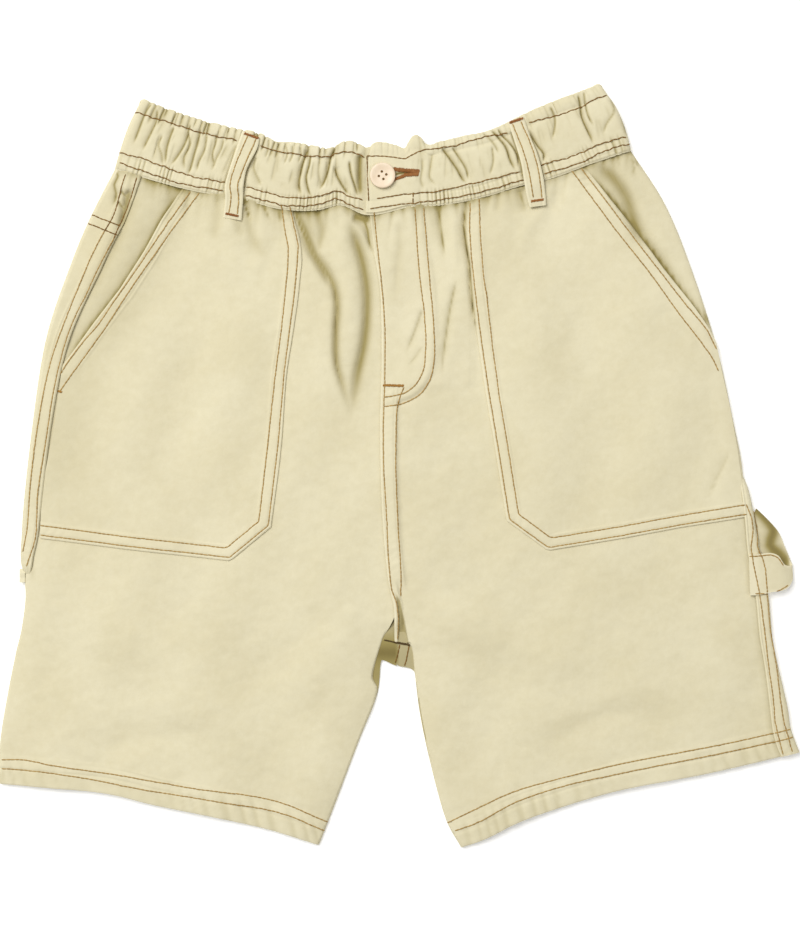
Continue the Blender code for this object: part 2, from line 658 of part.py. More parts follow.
def build_hammer_loop(finish, collection):
    keys = np.arange(len(HAMMER_LOOP), dtype=float)
    table = np.array(HAMMER_LOOP) * MM
    points = []
    for index in range(STRAP_ROWS):
        row = StrapStation(*smooth_curve(keys, table, keys[-1] * index / (STRAP_ROWS - 1)))
        z = max(row.z, STRAP_CLOTH / 2)
        points.append([Vector((row.low_x, row.low_y, z)), Vector((row.high_x, row.high_y, z))])
    mesh = skin_mesh("hammer_loop", points, 1)
    cloth_object("hammer_loop", mesh, STRAP_CLOTH, 0.0, finish, collection)


def build_side_tab(finish, collection):
    """Folded strap end that shows at the right side seam."""
    bpy.ops.mesh.primitive_cube_add(size=1.0, location=SIDE_TAB_CENTRE)
    tab = bpy.context.object
    tab.name = "side_tab_right"
    tab.data.transform(tab.matrix_basis.to_3x3().to_4x4())
    for vert in tab.data.vertices:
        vert.co = Vector(size * value for size, value in zip(SIDE_TAB_SIZE, vert.co))
    tab.data.materials.append(finish)
    for holder in tab.users_collection:
        holder.objects.unlink(tab)
    collection.objects.link(tab)


def build_button(finish, collection, cutters):
    """A dished button turned on its axis, with four holes."""
    mesh = bpy.data.meshes.new("button")
    edges = [(index, index + 1) for index in range(len(BUTTON_PROFILE) - 1)]
    mesh.from_pydata([(point.radius * MM, 0.0, point.height * MM) for point in BUTTON_PROFILE], edges, [])
    button = bpy.data.objects.new("button", mesh)
    collection.objects.link(button)
    button.location = (*BUTTON_CENTRE, TAB_HEIGHT + GAP)
    turn = button.modifiers.new("Turn", "SCREW")
    turn.steps = BUTTON_STEPS
    turn.render_steps = BUTTON_STEPS
    turn.use_merge_vertices = True
    turn.merge_threshold = MERGE_DISTANCE
    mesh.materials.append(finish)
    for index in range(HOLE_COUNT):
        angle = HOLE_TURN + index * 2 * math.pi / HOLE_COUNT
        bpy.ops.mesh.primitive_cylinder_add(vertices=HOLE_SIDES, radius=HOLE_RADIUS, depth=HOLE_DEPTH)
        hole = bpy.context.object
        hole.name = f"hole_{index}"
        hole.location = button.location + Vector((math.cos(angle), math.sin(angle), 0.0)) * HOLE_SPREAD
        hole.display_type = "WIRE"
        hole.hide_render = True
        for holder in hole.users_collection:
            holder.objects.unlink(hole)
        cutters.objects.link(hole)
        cut = button.modifiers.new(f"Hole {index}", "BOOLEAN")
        cut.operation = "DIFFERENCE"
        cut.object = hole


def main():
    clear_scene()
    scene = bpy.context.scene.collection
    shorts = bpy.data.collections.new("chino_shorts")
    cutters = bpy.data.collections.new("cutters")
    scene.children.link(shorts)
    scene.children.link(cutters)
    cloth = material("twill", CREAM, CLOTH_ROUGHNESS)
    horn = material("horn", HORN, HORN_ROUGHNESS)
    build_legs(cloth, shorts)
    build_underlap(cloth, shorts)
    build_waistband(cloth, shorts)
    build_belt_loops(cloth, shorts)
    build_hammer_loop(cloth, shorts)
    build_side_tab(cloth, shorts)
    build_button(horn, shorts, cutters)


main()
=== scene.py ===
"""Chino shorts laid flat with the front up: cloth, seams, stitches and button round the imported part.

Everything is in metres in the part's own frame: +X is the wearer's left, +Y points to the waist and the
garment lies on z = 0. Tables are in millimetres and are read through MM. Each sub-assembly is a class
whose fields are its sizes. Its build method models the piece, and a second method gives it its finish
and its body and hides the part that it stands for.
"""

from __future__ import annotations

import logging
import math
from dataclasses import dataclass, field
from enum import Enum
from typing import NamedTuple, Sequence

import bpy
import numpy as np
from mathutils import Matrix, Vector
from mathutils.bvhtree import BVHTree

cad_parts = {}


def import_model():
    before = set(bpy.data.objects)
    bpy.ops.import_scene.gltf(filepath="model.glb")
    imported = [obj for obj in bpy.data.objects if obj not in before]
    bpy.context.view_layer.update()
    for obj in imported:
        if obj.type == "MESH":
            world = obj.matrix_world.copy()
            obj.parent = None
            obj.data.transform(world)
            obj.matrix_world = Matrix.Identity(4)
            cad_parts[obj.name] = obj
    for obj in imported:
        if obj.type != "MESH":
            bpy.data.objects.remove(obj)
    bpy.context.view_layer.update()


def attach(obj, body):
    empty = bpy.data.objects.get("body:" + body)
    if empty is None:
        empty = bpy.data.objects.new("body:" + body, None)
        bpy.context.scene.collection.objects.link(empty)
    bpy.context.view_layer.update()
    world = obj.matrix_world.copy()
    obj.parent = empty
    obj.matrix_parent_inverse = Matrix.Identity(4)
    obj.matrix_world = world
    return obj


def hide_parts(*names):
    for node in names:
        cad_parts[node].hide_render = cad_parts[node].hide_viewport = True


LOG = logging.getLogger("chino_shorts")
MM = 0.001
FINE_STEP = 0.62 * MM  # between columns of points along a sewn edge
BODY = "root"
Array = np.ndarray
Points = tuple[tuple[float, float], ...]
Triple = tuple[float, float, float]
Obj = bpy.types.Object
Socket = bpy.types.NodeSocket


# ---------- How the cloth lies, in millimetres ----------


class Section(NamedTuple):
    """A cross-section of a leg: the side, how far in its seam lies, and where front and back end."""

    name: str
    side_x: float
    side_y: float
    seam_in: float
    front_x: float
    front_y: float
    back_x: float
    back_y: float
    bow: float
    closed: float
    front_rolls: float


class BandStation(NamedTuple):
    """A place along the waistband: its seam on the shorts and its top edge."""

    name: str
    seam_x: float
    seam_y: float
    top_x: float
    top_y: float


class Fold(NamedTuple):
    """A soft trough (depth below 0) or ridge along a path, with a width to its left and its right."""

    name: str
    path: Points
    left: float
    right: float
    depth: float


class Pucker(NamedTuple):
    """A stretch of the waist seam that is drawn up tightly, and how far apart its puckers are."""

    start: float
    end: float
    pitch: float


RIGHT_LEG = (
    Section("waist", -190.9, 198.7, 18.6, -20.3, 168, -8.2, 163, 0, 0, 0),
    Section("yoke", -206.6, 168, 22.2, -17.4, 143.3, -7.6, 126, -4, 0, 0),
    Section("high hip", -219.6, 137.3, 21.4, -12.9, 112, -7, 100, -3, 0, 0),
    Section("hip", -236.5, 87.4, 16, -12.3, 70, -6, 70, -2, 0, 0),
    Section("fly end", -245.9, 29.1, 13.4, -13.3, 25, -5, 25, 0, 0, 0),
    Section("pocket base", -253, -39.5, 12, -12, -30, -3.8, -30, 0, 0, 0),
    Section("seam turn", -253.9, -62.6, 8.6, -6.5, -75, -2.9, -75, 0, 0, 0),
    Section("crotch", -250.8, -85, 4, -7, -103, -1.95, -113, 0, 0, 1),
    Section("fork", -253.3, -108, 4, -11.6, -117, -2.2, -128.4, 0, 1, 1),
    Section("thigh", -257.2, -125, 4, -18.2, -140, -12, -130, 0, 1, 1),
    Section("mid leg", -262.6, -152, 4, -15.5, -153, -15.4, -153.4, 1.5, 1, 1),
    Section("low leg", -267.4, -181, 4, -28.4, -186.4, -28.4, -186.4, 4, 1, 1),
    Section("above hem", -268.6, -203, 4, -44.5, -229, -44.5, -229, 6, 1, 1),
    Section("hem", -268.4, -212.7, 4, -54.3, -253.9, -54.3, -253.9, 7, 1, 1),
)
LEFT_LEG = (
    Section("waist", 154.5, 211.1, 4, -20.3, 168, -7.8, 163, 0, 0, 1),
    Section("yoke", 177.6, 174.9, 4, -17.4, 143.3, -7.2, 126, -5, 0, 1),
    Section("high hip", 195.5, 131.1, 4, -12.9, 112, -6.6, 100, -3, 0, 1),
    Section("hip", 212.9, 76.7, 4, -12.3, 70, -5.6, 70, -1, 0, 1),
    Section("fly end", 225.2, 20.6, 4, -13.3, 25, -4.6, 25, 0, 0, 1),
    Section("pocket base", 235.6, -25.5, 6.5, -12, -30, -3.4, -30, 0, 0, 0),
    Section("hammer loop", 241, -58, 8.8, -8.4, -73, -2.5, -75, 0, 0, 0),
    Section("crotch", 246.6, -85.4, 9.4, -3.9, -97, -1.75, -100, 0, 0, 0),
    Section("strip end", 248.4, -104, 9.3, -3.6, -117.2, -1.8, -118, 0, 0, 0),
    Section("fork", 249.6, -116.2, 9.2, 6.2, -119.8, -2, -132.4, 0, 1, 0),
    Section("thigh", 253.4, -135, 9.8, 9.7, -138, 9.7, -138, 0, 1, 0),
    Section("mid leg", 259.2, -160, 12.4, 14, -170, 14, -170, 3, 1, 0),
    Section("low leg", 261.5, -175, 13, 22.5, -208, 22.5, -208, 5, 1, 0),
    Section("above hem", 264.5, -184, 13.6, 31, -237.5, 31, -237.5, 7, 1, 0),
    Section("hem", 267.5, -191.5, 13.4, 40.9, -255.6, 40.9, -255.6, 8.5, 1, 0),
)

BAND = (
    BandStation("right side", -190.9, 198.7, -174.2, 244.9),
    BandStation("right hip", -134, 183.4, -122, 227.5),
    BandStation("right loop", -107, 179, -96, 221.5),
    BandStation("right hollow", -78.4, 171.8, -71, 215),
    BandStation("right front", -53.6, 171.5, -50, 212),
    BandStation("right gather", -40, 174.5, -37.5, 215.8),
    BandStation("tab edge", -24, 168.5, -21.5, 213),
    BandStation("tab root", 8.4, 173.5, 5.5, 215.6),
    BandStation("left gather", 26.8, 174.5, 24.5, 215.9),
    BandStation("left front", 57.4, 180.4, 49, 218.5),
    BandStation("left loop", 82, 187.9, 71.5, 228.6),
    BandStation("left hollow", 98.5, 191.7, 84.8, 235),
    BandStation("left hip", 127.3, 202.2, 109.5, 245),
    BandStation("left side", 154.5, 211.1, 135.2, 255.5),
)

# Folds of the fronts and pockets. On a path that runs down, left is towards the wearer's left.
FOLDS = (
    Fold("drag from the waist", ((-73, 180), (-66.5, 165), (-61, 152), (-56.5, 141), (-49.8, 131), (-44, 119),
        (-42.2, 107), (-43, 90), (-42.4, 68), (-38.6, 54), (-30, 28)), 2.6, 2, -3.2),
    Fold("bend of the drag", ((-66, 160), (-58.8, 142), (-51.4, 130), (-46, 118)), 2.9, 2.2, -3.2),
    Fold("shade at the drag's head", ((-71, 180), (-69.4, 168), (-65.8, 158), (-60.6, 148), (-56, 139)), 7.4,
        1.9, -2.7),
    Fold("fold at the right loop", ((-104.5, 180), (-103, 172), (-99, 163)), 1.8, 1.2, -2),
    Fold("first ruffle on the right pocket", ((-93.5, 178), (-89.5, 170), (-86, 162)), 1.6, 1.4, -1.3),
    Fold("second ruffle on the right pocket", ((-83, 176), (-81, 168), (-79, 162)), 1.3, 1.6, -1.2),
    Fold("shade at the tab's foot", ((-31.5, 167.6), (-26, 165.4), (-19, 164.2)), 2.1, 2.6, -3.4),
    Fold("branch of the drag", ((-55, 180), (-53.4, 164), (-52, 157), (-54, 147), (-56, 139)), 2, 3.4, -1.7),
    Fold("ridge between the drags", ((-60, 176), (-60.6, 162), (-57.6, 150)), 2.4, 2.4, 0.7),
    Fold("swell right of the fly", ((-42, 166), (-38, 140), (-34, 116), (-34, 84)), 6, 6, 1.1),
    Fold("fold beside the fly", ((-36, 166), (-29.6, 151), (-24.8, 135), (-22.2, 119), (-22, 100),
        (-23.8, 82), (-28, 62), (-33, 28)), 3.2, 3, -3.9),
    Fold("ruffle by the tab", ((-44, 174), (-38, 169.5), (-29.5, 160.4), (-21, 149.7), (-16, 140)), 1.4, 4.6,
        1.3),
    Fold("hollow by the tab", ((-31, 174), (-25.5, 167), (-21.8, 158), (-20.6, 150), (-17, 140)), 1.5, 2.2,
        -2.8),
    Fold("short fold under the band", ((-101, 178), (-101, 160), (-96, 148), (-88, 138)), 3.2, 4, -1.2),
    Fold("swell under the right loop", ((-92, 176), (-92, 150), (-98, 118)), 5, 5, 0.8),
    Fold("hollow at the right loop", ((-121, 182), (-122, 164), (-126, 148)), 3, 4, -1.1),
    Fold("second hollow at the right loop", ((-108, 178), (-107.5, 160), (-105, 150)), 2.4, 3, -1.2),
    Fold("fold by the right mouth", ((-150, 190), (-152, 174), (-160, 158)), 3, 3, -0.8),
    Fold("diagonal on the right pocket", ((-132, 150), (-112, 146), (-94, 128), (-88, 110)), 6, 4, -0.6),
    Fold("fold left of the fly", ((27, 180), (26.6, 162), (28.4, 151), (29.6, 136)), 1.4, 2.2, -1.8),
    Fold("hollow left of the fly", ((38, 126), (34, 108), (31.4, 92), (29, 74), (28, 58)), 2.4, 1.8, -1.3),
    Fold("swell left of the fly", ((35, 168), (36.4, 148), (38, 128)), 2.6, 2.6, 0.8),
    Fold("crease in the fly", ((15, 106), (12.6, 98), (8.2, 86), (3.6, 75)), 2.6, 0.9, -1),
    Fold("second crease in the fly", ((15, 80), (11, 74), (5, 66)), 2, 1, -0.6),
    Fold("soft fold in the fly", ((-1, 166), (0, 150), (-2, 130), (-3, 108)), 3.4, 2.4, -0.6),
    Fold("left pocket edge hollow", ((43.4, 180), (43.6, 152), (46.2, 137), (47.6, 119), (50, 98), (53, 82)),
        1, 1.4, -3.1),
    Fold("hollow at the left loop", ((80.5, 186), (82, 176), (84, 168)), 1.8, 3.4, -1.6),
    Fold("short fold under the left band", ((66, 184), (65.6, 176), (64, 168)), 2.4, 2.6, -1.1),
    Fold("swell at the left loop", ((101, 192), (96, 174), (86, 160), (80, 138)), 5, 4, 0.9),
    Fold("hollow past the left loop", ((108, 194), (104, 178), (97, 164)), 4, 4, -0.9),
    Fold("left side hollow", ((131, 203), (143, 192.6), (151.6, 180.6), (155.8, 168), (160.6, 155),
        (167, 143)), 3.2, 4.6, -3),
    Fold("left mouth hollow", ((132, 190), (146, 173.5), (160, 156), (176, 135), (194, 111)), 3, 1.6, -2.8),
    Fold("left side swell", ((146, 204), (158, 184), (176, 158), (190, 132)), 4.5, 4.5, 0.9),
    Fold("left side pinch", ((155, 208), (156.5, 198), (156, 192)), 1.6, 2.4, -1.2),
    Fold("right side hollow", ((-172, 190), (-184, 160), (-200, 128), (-216, 98)), 2.6, 5, -0.7),
    Fold("right side pinch", ((-177, 200), (-180, 186), (-178, 174)), 2.4, 2, -0.8),
    Fold("right side tuck", ((-190.6, 198), (-188.6, 194), (-191, 188), (-189.8, 182), (-192.4, 172)), 1.5,
        1.9, -2.9),
    Fold("right side wrinkle", ((-187, 184.4), (-184, 181), (-180.6, 178.4)), 1.1, 1.9, -1.7),
    Fold("second right side wrinkle", ((-188.6, 177), (-185.6, 173), (-182.6, 170)), 1.1, 1.9, -1.7),
    Fold("shade along the right side seam", ((-180.6, 186), (-183.6, 173), (-188, 156)), 2.6, 2.2, -3),
    Fold("right pocket outer swell", ((-150, 110), (-176, 60), (-190, -20)), 22, 17, 1.2),
    Fold("right pocket inner swell", ((-100, 120), (-112, 50), (-128, -40)), 15, 20, 1),
    Fold("right pocket hollow", ((-124, 140), (-140, 70), (-158, -20)), 14, 14, -0.9),
    Fold("left pocket outer swell", ((150, 120), (178, 60), (196, -10)), 20, 17, 1.1),
    Fold("left pocket inner swell", ((78, 150), (92, 70), (112, -40)), 16, 20, 1),
    Fold("left pocket hollow", ((112, 140), (134, 60), (152, -30)), 14, 18, -0.9),
    Fold("crease on the left pocket", ((221, 10), (213, -6), (204, -24)), 1.2, 2.6, -0.6),
    Fold("right thigh ridge", ((-22, -92), (-48, -128), (-84, -168)), 12, 14, 1.3),
    Fold("right thigh hollow", ((-46, -92), (-76, -126), (-112, -150)), 12, 12, -1),
    Fold("right hem drag", ((-210, -192), (-170, -182), (-122, -181)), 8, 9, -1),
    Fold("right hem swell", ((-212, -168), (-160, -160), (-104, -168)), 10, 12, 0.7),
    Fold("right leg drag", ((-226, -96), (-180, -118), (-120, -112)), 14, 14, 0.7),
    Fold("left crotch ridge", ((14, -92), (76, -118), (142, -142)), 11, 14, 1.3),
    Fold("left crotch hollow", ((24, -116), (74, -142), (120, -160)), 11, 11, -0.9),
    Fold("left hem drag", ((90, -192), (122, -174), (160, -166), (184, -180)), 7, 9, -1),
    Fold("left hem swell", ((104, -168), (150, -150), (206, -158)), 10, 10, 0.6),
    Fold("drag under the left pocket", ((168, -64), (184, -80), (202, -98)), 5, 7, -0.6),
    Fold("seat drag", ((-8, -72), (24, -82), (70, -80)), 9, 9, -0.5),
)
# Creases of the waistband, from its top down.
BAND_FOLDS = (
    Fold("side crease", ((-165.4, 243), (-168.9, 237.9), (-170.8, 233.6), (-173.9, 225.2), (-178.4, 213.7)),
        0.8, 1.6, -1.7),
    Fold("second side crease", ((-162, 239.3), (-162.9, 229.4), (-165.4, 223.8), (-169.6, 215.3),
        (-172.5, 209)), 0.7, 1.7, -1.6),
    Fold("forked crease", ((-158.4, 221), (-161.2, 213.9), (-159.1, 208), (-158.4, 199.6)), 0.6, 1.2, -1.3),
    Fold("long crease", ((-150.6, 227), (-153.4, 219.5), (-155.5, 212.5), (-156.9, 200.2)), 0.7, 2, -1.8),
    Fold("slanting crease", ((-140.7, 223.5), (-143.5, 215.3), (-148.5, 206.8), (-154, 200)), 0.8, 1.7, -1.7),
    Fold("crossing crease", ((-139.4, 229), (-141.4, 222.4), (-140, 215.3), (-144.2, 205.4), (-143.5, 196)),
        0.6, 1.3, -1.6),
    Fold("curved crease", ((-133, 226), (-135.1, 215.3), (-137.2, 208.3), (-140, 198.4), (-143, 192)), 0.7,
        1.7, -1.8),
    Fold("loop crease", ((-128.7, 222), (-130.9, 209.7), (-134.4, 202.6), (-136, 195)), 0.7, 1.5, -1.5),
    Fold("near loop crease", ((-122.4, 222), (-123.1, 215.3), (-125.2, 208.3), (-123.1, 199)), 0.6, 1.3,
        -1.5),
    Fold("last loop crease", ((-117.5, 219), (-118.9, 212.5), (-123.1, 204), (-126, 196)), 0.7, 1.6, -1.2),
    Fold("after the loop", ((-95.8, 207), (-97.7, 199), (-94.9, 192), (-92, 186)), 1.1, 2.4, -1.2),
    Fold("small fan one", ((-87.5, 218.5), (-87.8, 212.5), (-90, 205)), 0.6, 1.1, -1.1),
    Fold("small fan two", ((-76.6, 214.5), (-75.1, 209), (-77.5, 201)), 0.6, 1.2, -1),
    Fold("small fan three", ((-71.6, 214.5), (-71.6, 208), (-74.2, 201.5)), 0.5, 1.1, -1.1),
    Fold("small fan four", ((-66.7, 214), (-66, 208.4), (-68.1, 201.9)), 0.5, 1.1, -1.1),
    Fold("strong crease", ((-61, 213), (-63, 207.4), (-66, 197), (-67.4, 187.1), (-65.3, 179)), 0.7, 2.1, -3),
    Fold("strong crease's pair", ((-59.6, 208.3), (-60.4, 201.2), (-62.5, 192.7), (-61.1, 184.3),
        (-58.5, 178)), 0.5, 1.3, -2),
    Fold("soft hollow", ((-53.5, 204), (-54.5, 196), (-52, 186)), 2, 1.6, -0.9),
    Fold("pinch to the left", ((-43, 214.5), (-44.1, 211), (-46.3, 205.4), (-47.7, 198.4), (-50.5, 189.9),
        (-55, 183)), 0.7, 2.1, -3),
    Fold("pinch to the right", ((-43.6, 200), (-42.7, 195.5), (-38.5, 187.1), (-33.6, 180.5)), 2, 0.7, -2.5),
    Fold("by the tab", ((-34, 204), (-33.1, 196.6), (-30, 186.4), (-27.6, 179)), 1.3, 0.7, -2),
    Fold("shade by the tab", ((-26.5, 209), (-26.9, 196), (-26.4, 179)), 2.1, 2.3, -3.4),
    Fold("tab root", ((14.5, 206), (15, 200), (14, 190), (16.5, 184)), 1.6, 1.1, -1),
    Fold("soft after the tab", ((21.8, 209), (20.5, 200.2), (20, 192.2), (25, 186.9)), 0.8, 1.6, -1.1),
    Fold("strong slant", ((27.5, 213), (29.1, 210.7), (33, 205.4), (38.4, 197.5), (42.3, 190.9),
        (46.3, 188.2)), 2.1, 0.7, -2.6),
    Fold("second slant", ((34.4, 213.4), (39.7, 205.4), (44.3, 197.5), (45.6, 189.6)), 1.6, 0.6, -1.7),
    Fold("quiet crease", ((61.5, 213.4), (62.2, 202.8), (59.6, 193.5)), 0.9, 0.9, -1.2),
    Fold("loop slant one", ((60.5, 224.6), (64.9, 220), (70.2, 213.4), (74.1, 202.8), (78.1, 196.2)), 1.5,
        0.6, -2.3),
    Fold("loop slant two", ((65, 226), (67.5, 221.4), (72.8, 216), (78.1, 208.1), (79.4, 198.8)), 1.3, 0.5,
        -2.2),
    Fold("loop slant three", ((55, 222.5), (62, 216), (66.4, 208)), 1.1, 0.7, -1.2),
    Fold("past the loop", ((86.5, 222), (88.7, 218.7), (92, 213.4), (96, 208.1), (95.3, 202)), 1.6, 0.5,
        -2.6),
    Fold("ruffle crease", ((100, 240.5), (103.3, 233.3), (103.3, 225.3), (101, 217)), 0.6, 1.1, -1.6),
    Fold("left hip crease", ((118.6, 249), (120.2, 241.2), (121.2, 233.3), (124.5, 225.3), (127.1, 220),
        (129.8, 213.4)), 1.7, 0.6, -2.3),
    Fold("left hip pair", ((122.6, 250.5), (123.8, 241.2), (125.8, 233.3), (130, 226)), 0.9, 0.6, -1.5),
    Fold("left side crease", ((140.4, 246.5), (143, 237.2), (137.7, 228), (135, 220)), 1.1, 1.6, -1.2),
    Fold("left edge crease", ((147, 238), (149, 229), (151, 220)), 1.6, 0.9, -1.1),
    Fold("right of the right loop", ((-94.2, 214), (-98.4, 205), (-102, 197.6), (-104.2, 187), (-105, 176)),
        1.2, 0.5, -1.2),
    Fold("left of the right loop", ((-108.6, 216), (-113.8, 199), (-117, 187), (-117.4, 176)), 0.5, 1.1, -1),
    Fold("left of the left loop", ((74, 224), (78.4, 210), (81.6, 197), (83.6, 187)), 0.5, 1.3, -1.6),
    Fold("right of the left loop", ((86, 226), (91, 209), (95, 196), (96.6, 188)), 1.3, 0.5, -1.2),
)
PUCKERS = (
    Pucker(-178, -170, 3.2),
    Pucker(-163, -153, 2.4),
    Pucker(-131, -119, 2.6),
    Pucker(-98, -90, 3),
    Pucker(-78, -40, 2.6),
    Pucker(-36, -26, 3),
    Pucker(18, 52, 2.5),
    Pucker(54, 74, 3.4),
    Pucker(99, 108, 3.6),
    Pucker(124, 134, 2.6),
    Pucker(141, 150, 3.8),
)
# The waistband's ruffled top edge.
TOP_EDGE: Points = (
    (-174.2, 244.9), (-134, 230.8), (-107.9, 224.3), (-92.5, 221), (-84.4, 216.5), (-67, 214.9),
    (-53.6, 212.3), (-46.9, 211.7), (-41, 214.6), (-36.9, 216.1), (-30.8, 215.9), (-20.8, 212.3),
    (-17.4, 214.7), (-10, 215.1), (-2.3, 213.3), (4.2, 212.5), (6, 216.1), (14.1, 218.6), (16.8, 214.9),
    (26.8, 215.9), (42, 219.4), (60.3, 223.4), (72.4, 228.8), (84.8, 235), (95.8, 239.8), (107.9, 244.6),
    (119, 248.7), (131.3, 253.6), (135.2, 255.5),
)
HEM_EDGES: dict[str, Points] = {
    "right": ((-268.4, -212.7), (-234, -215.5), (-194, -219.7), (-162, -227.5), (-128, -234.2), (-80, -245.6),
        (-54.3, -253.9)),
    "left": ((40.9, -255.6), (56, -250.2), (77, -239.5), (111, -227.5), (140, -218.8), (205, -206),
        (267.5, -191.5)),
}

# ---------- Curves and paths ----------


def ease(part: Array | float) -> Array:
    """0 to 1 with a soft start and end."""
    part = np.clip(part, 0.0, 1.0)
    return part * part * (3 - 2 * part)


def bell(distance: Array, width: Array | float) -> Array:
    """1 at the middle, dying out over a width."""
    return np.exp(-((distance / width) ** 2))


def hermite(keys: Array, values: Array, at: Array, steady: bool = False) -> Array:
    """A smooth curve through values at rising keys.

    Args:
        keys: Rising places, one for each value.
        values: What the curve passes through, one row for each key.
        at: The places to read it at.
        steady: Whether the curve may not swing past the values.

    Returns:
        One row for each place.
    """
    at = np.asarray(at, float)
    index = np.clip(np.searchsorted(keys, at) - 1, 0, len(keys) - 2)
    slopes = np.gradient(values, keys, axis=0)
    if steady:
        steps = np.abs(np.diff(values, axis=0))
        limit = 2.5 * np.minimum(steps[:-1], steps[1:])
        slopes[1:-1] = np.clip(slopes[1:-1], -limit, limit)
    span = keys[index + 1] - keys[index]
    part = (at - keys[index]) / span
    if values.ndim > 1:
        span, part = span[..., None], part[..., None]
    square, cube = part**2, part**3
    return (
        (2 * cube - 3 * square + 1) * values[index]
        + (cube - 2 * square + part) * span * slopes[index]
        + (3 * square - 2 * cube) * values[index + 1]
        + (cube - square) * span * slopes[index + 1]
    )


class Path:
    """A line in plan, read by the distance along it."""

    def __init__(self, points: Sequence[Sequence[float]], rounded: bool = True, step: float = 4 * MM) -> None:
        """Lays a line through points in millimetres.

        Args:
            points: The places it passes through.
            rounded: Whether it curves through them, or has corners there.
            step: The longest straight stretch of a curve, in metres.
        """
        raw = np.asarray(points, float) * MM
        chord = self._distances(raw)
        if rounded and len(raw) > 2:
            count = max(2, math.ceil(chord[-1] / step) + 1)
            raw = hermite(chord, raw, np.union1d(np.linspace(0, chord[-1], count), chord))
            chord = self._distances(raw)
        self.points = raw
        self.chord = chord
        self.length = float(chord[-1])

    @staticmethod
    def _distances(points: Array) -> Array:
        """Distance along a line at each of its points."""
        steps = np.diff(points, axis=0)
        return np.concatenate([[0.0], np.cumsum(np.hypot(steps[:, 0], steps[:, 1]))])

    def at(self, distance: Array) -> Array:
        """Points at distances along the line."""
        return np.stack([np.interp(distance, self.chord, self.points[:, axis]) for axis in (0, 1)], axis=-1)

    def near(self, plan: Array) -> tuple[Array, Array, Array]:
        """How points lie to the line.

        Args:
            plan: Points in plan, in rows of any shape.

        Returns:
            Their distances from it, the side they are on (1 for its left, -1 for its right) and how far
            along it they are.
        """
        shape = plan.shape[:-1]
        flat = plan.reshape(-1, 2)
        best = np.full(len(flat), np.inf)
        side, along = np.ones(len(flat)), np.zeros(len(flat))
        for start, end, begun in zip(self.points[:-1], self.points[1:], self.chord[:-1]):
            run = end - start
            length = math.hypot(*run)
            unit = run / max(length, 1e-9)
            offset = flat - start
            part = np.clip(offset @ unit, 0, length)
            gap = offset - part[:, None] * unit
            distance = np.hypot(gap[:, 0], gap[:, 1])
            closer = distance < best
            best[closer] = distance[closer]
            side[closer] = np.where(unit[0] * offset[:, 1] - unit[1] * offset[:, 0] < 0, -1.0, 1.0)[closer]
            along[closer] = begun + part[closer]
        return best.reshape(shape), side.reshape(shape), along.reshape(shape)


# ---------- Mesh tools ----------


def deselect_all() -> None:
    """Leaves nothing selected."""
    for other in bpy.context.selected_objects:
        other.select_set(False)


def select_only(obj: Obj) -> None:
    """Makes one object the only selected one and the active one.

    Args:
        obj: The object.
    """
    deselect_all()
    obj.select_set(True)
    bpy.context.view_layer.objects.active = obj


def apply_modifiers(obj: Obj) -> None:
    """Applies all of an object's modifiers in order.

    Args:
        obj: The object.
    """
    select_only(obj)
    for modifier in list(obj.modifiers):
        bpy.ops.object.modifier_apply(modifier=modifier.name)


def smooth_shade(obj: Obj, degrees: float = 50.0) -> None:
    """Shades an object smooth, apart from edges sharper than an angle."""
    select_only(obj)
    bpy.ops.object.shade_smooth_by_angle(angle=math.radians(degrees))


def lay_grid(
    name: str,
    plan: Array,
    height: Array,
    outer_up: bool,
    painted_shade: Array | None = None,
    wear: Array | None = None,
) -> Obj:
    """Lays a grid on rows of points.

    Args:
        name: The new object's name.
        plan: Rows by columns of places in plan, in metres.
        height: Their heights.
        outer_up: Whether the outer side of most of it faces up.
        painted_shade: How much shade is painted on each point, from 0 up to 2 for the deepest shade.
        wear: How rubbed each point is, 0 to 1.

    Returns:
        The object, with its place in its mesh.
    """
    points = np.concatenate([plan, height[..., None]], axis=-1)
    across = points[:-1, 1:] - points[:-1, :-1]
    down = points[1:, :-1] - points[:-1, :-1]
    rises = float(np.sum(np.cross(down, across)[..., 2]))
    layers = [np.zeros(points.shape[:2]) if layer is None else layer for layer in (painted_shade, wear)]
    if (rises > 0) != outer_up:
        points, layers = points[:, ::-1], [layer[:, ::-1] for layer in layers]
    rows, columns = points.shape[:2]
    deselect_all()
    bpy.ops.mesh.primitive_grid_add(x_subdivisions=columns - 1, y_subdivisions=rows - 1, size=2.0)
    obj = bpy.context.object
    obj.name = obj.data.name = name
    mesh = obj.data
    flat = np.empty(len(mesh.vertices) * 3)
    mesh.vertices.foreach_get("co", flat)
    flat = flat.reshape(-1, 3)
    column = np.rint((flat[:, 0] + 1) / 2 * (columns - 1)).astype(int)
    row = np.rint((1 - flat[:, 1]) / 2 * (rows - 1)).astype(int)
    mesh.vertices.foreach_set("co", points[row, column].astype(np.float32).ravel())
    # The crease layer carries the painted shade, the rub layer the real wear.
    for label, layer in zip(("crease", "rub"), layers):
        attribute = mesh.attributes.new(label, "FLOAT", "POINT")
        attribute.data.foreach_set("value", layer[row, column].astype(np.float32).ravel())
    mesh.update()
    return obj


def thicken(obj: Obj, thickness: float) -> Obj:
    """Gives a skin its thickness inwards, with closed edges, and shades it.

    Args:
        obj: The skin.
        thickness: The cloth's thickness.

    Returns:
        The same object.
    """
    wall = obj.modifiers.new("Wall", "SOLIDIFY")
    wall.thickness = thickness
    wall.offset = -1.0
    wall.use_rim = True
    apply_modifiers(obj)
    smooth_shade(obj)
    return obj


# ---------- Finishes ----------


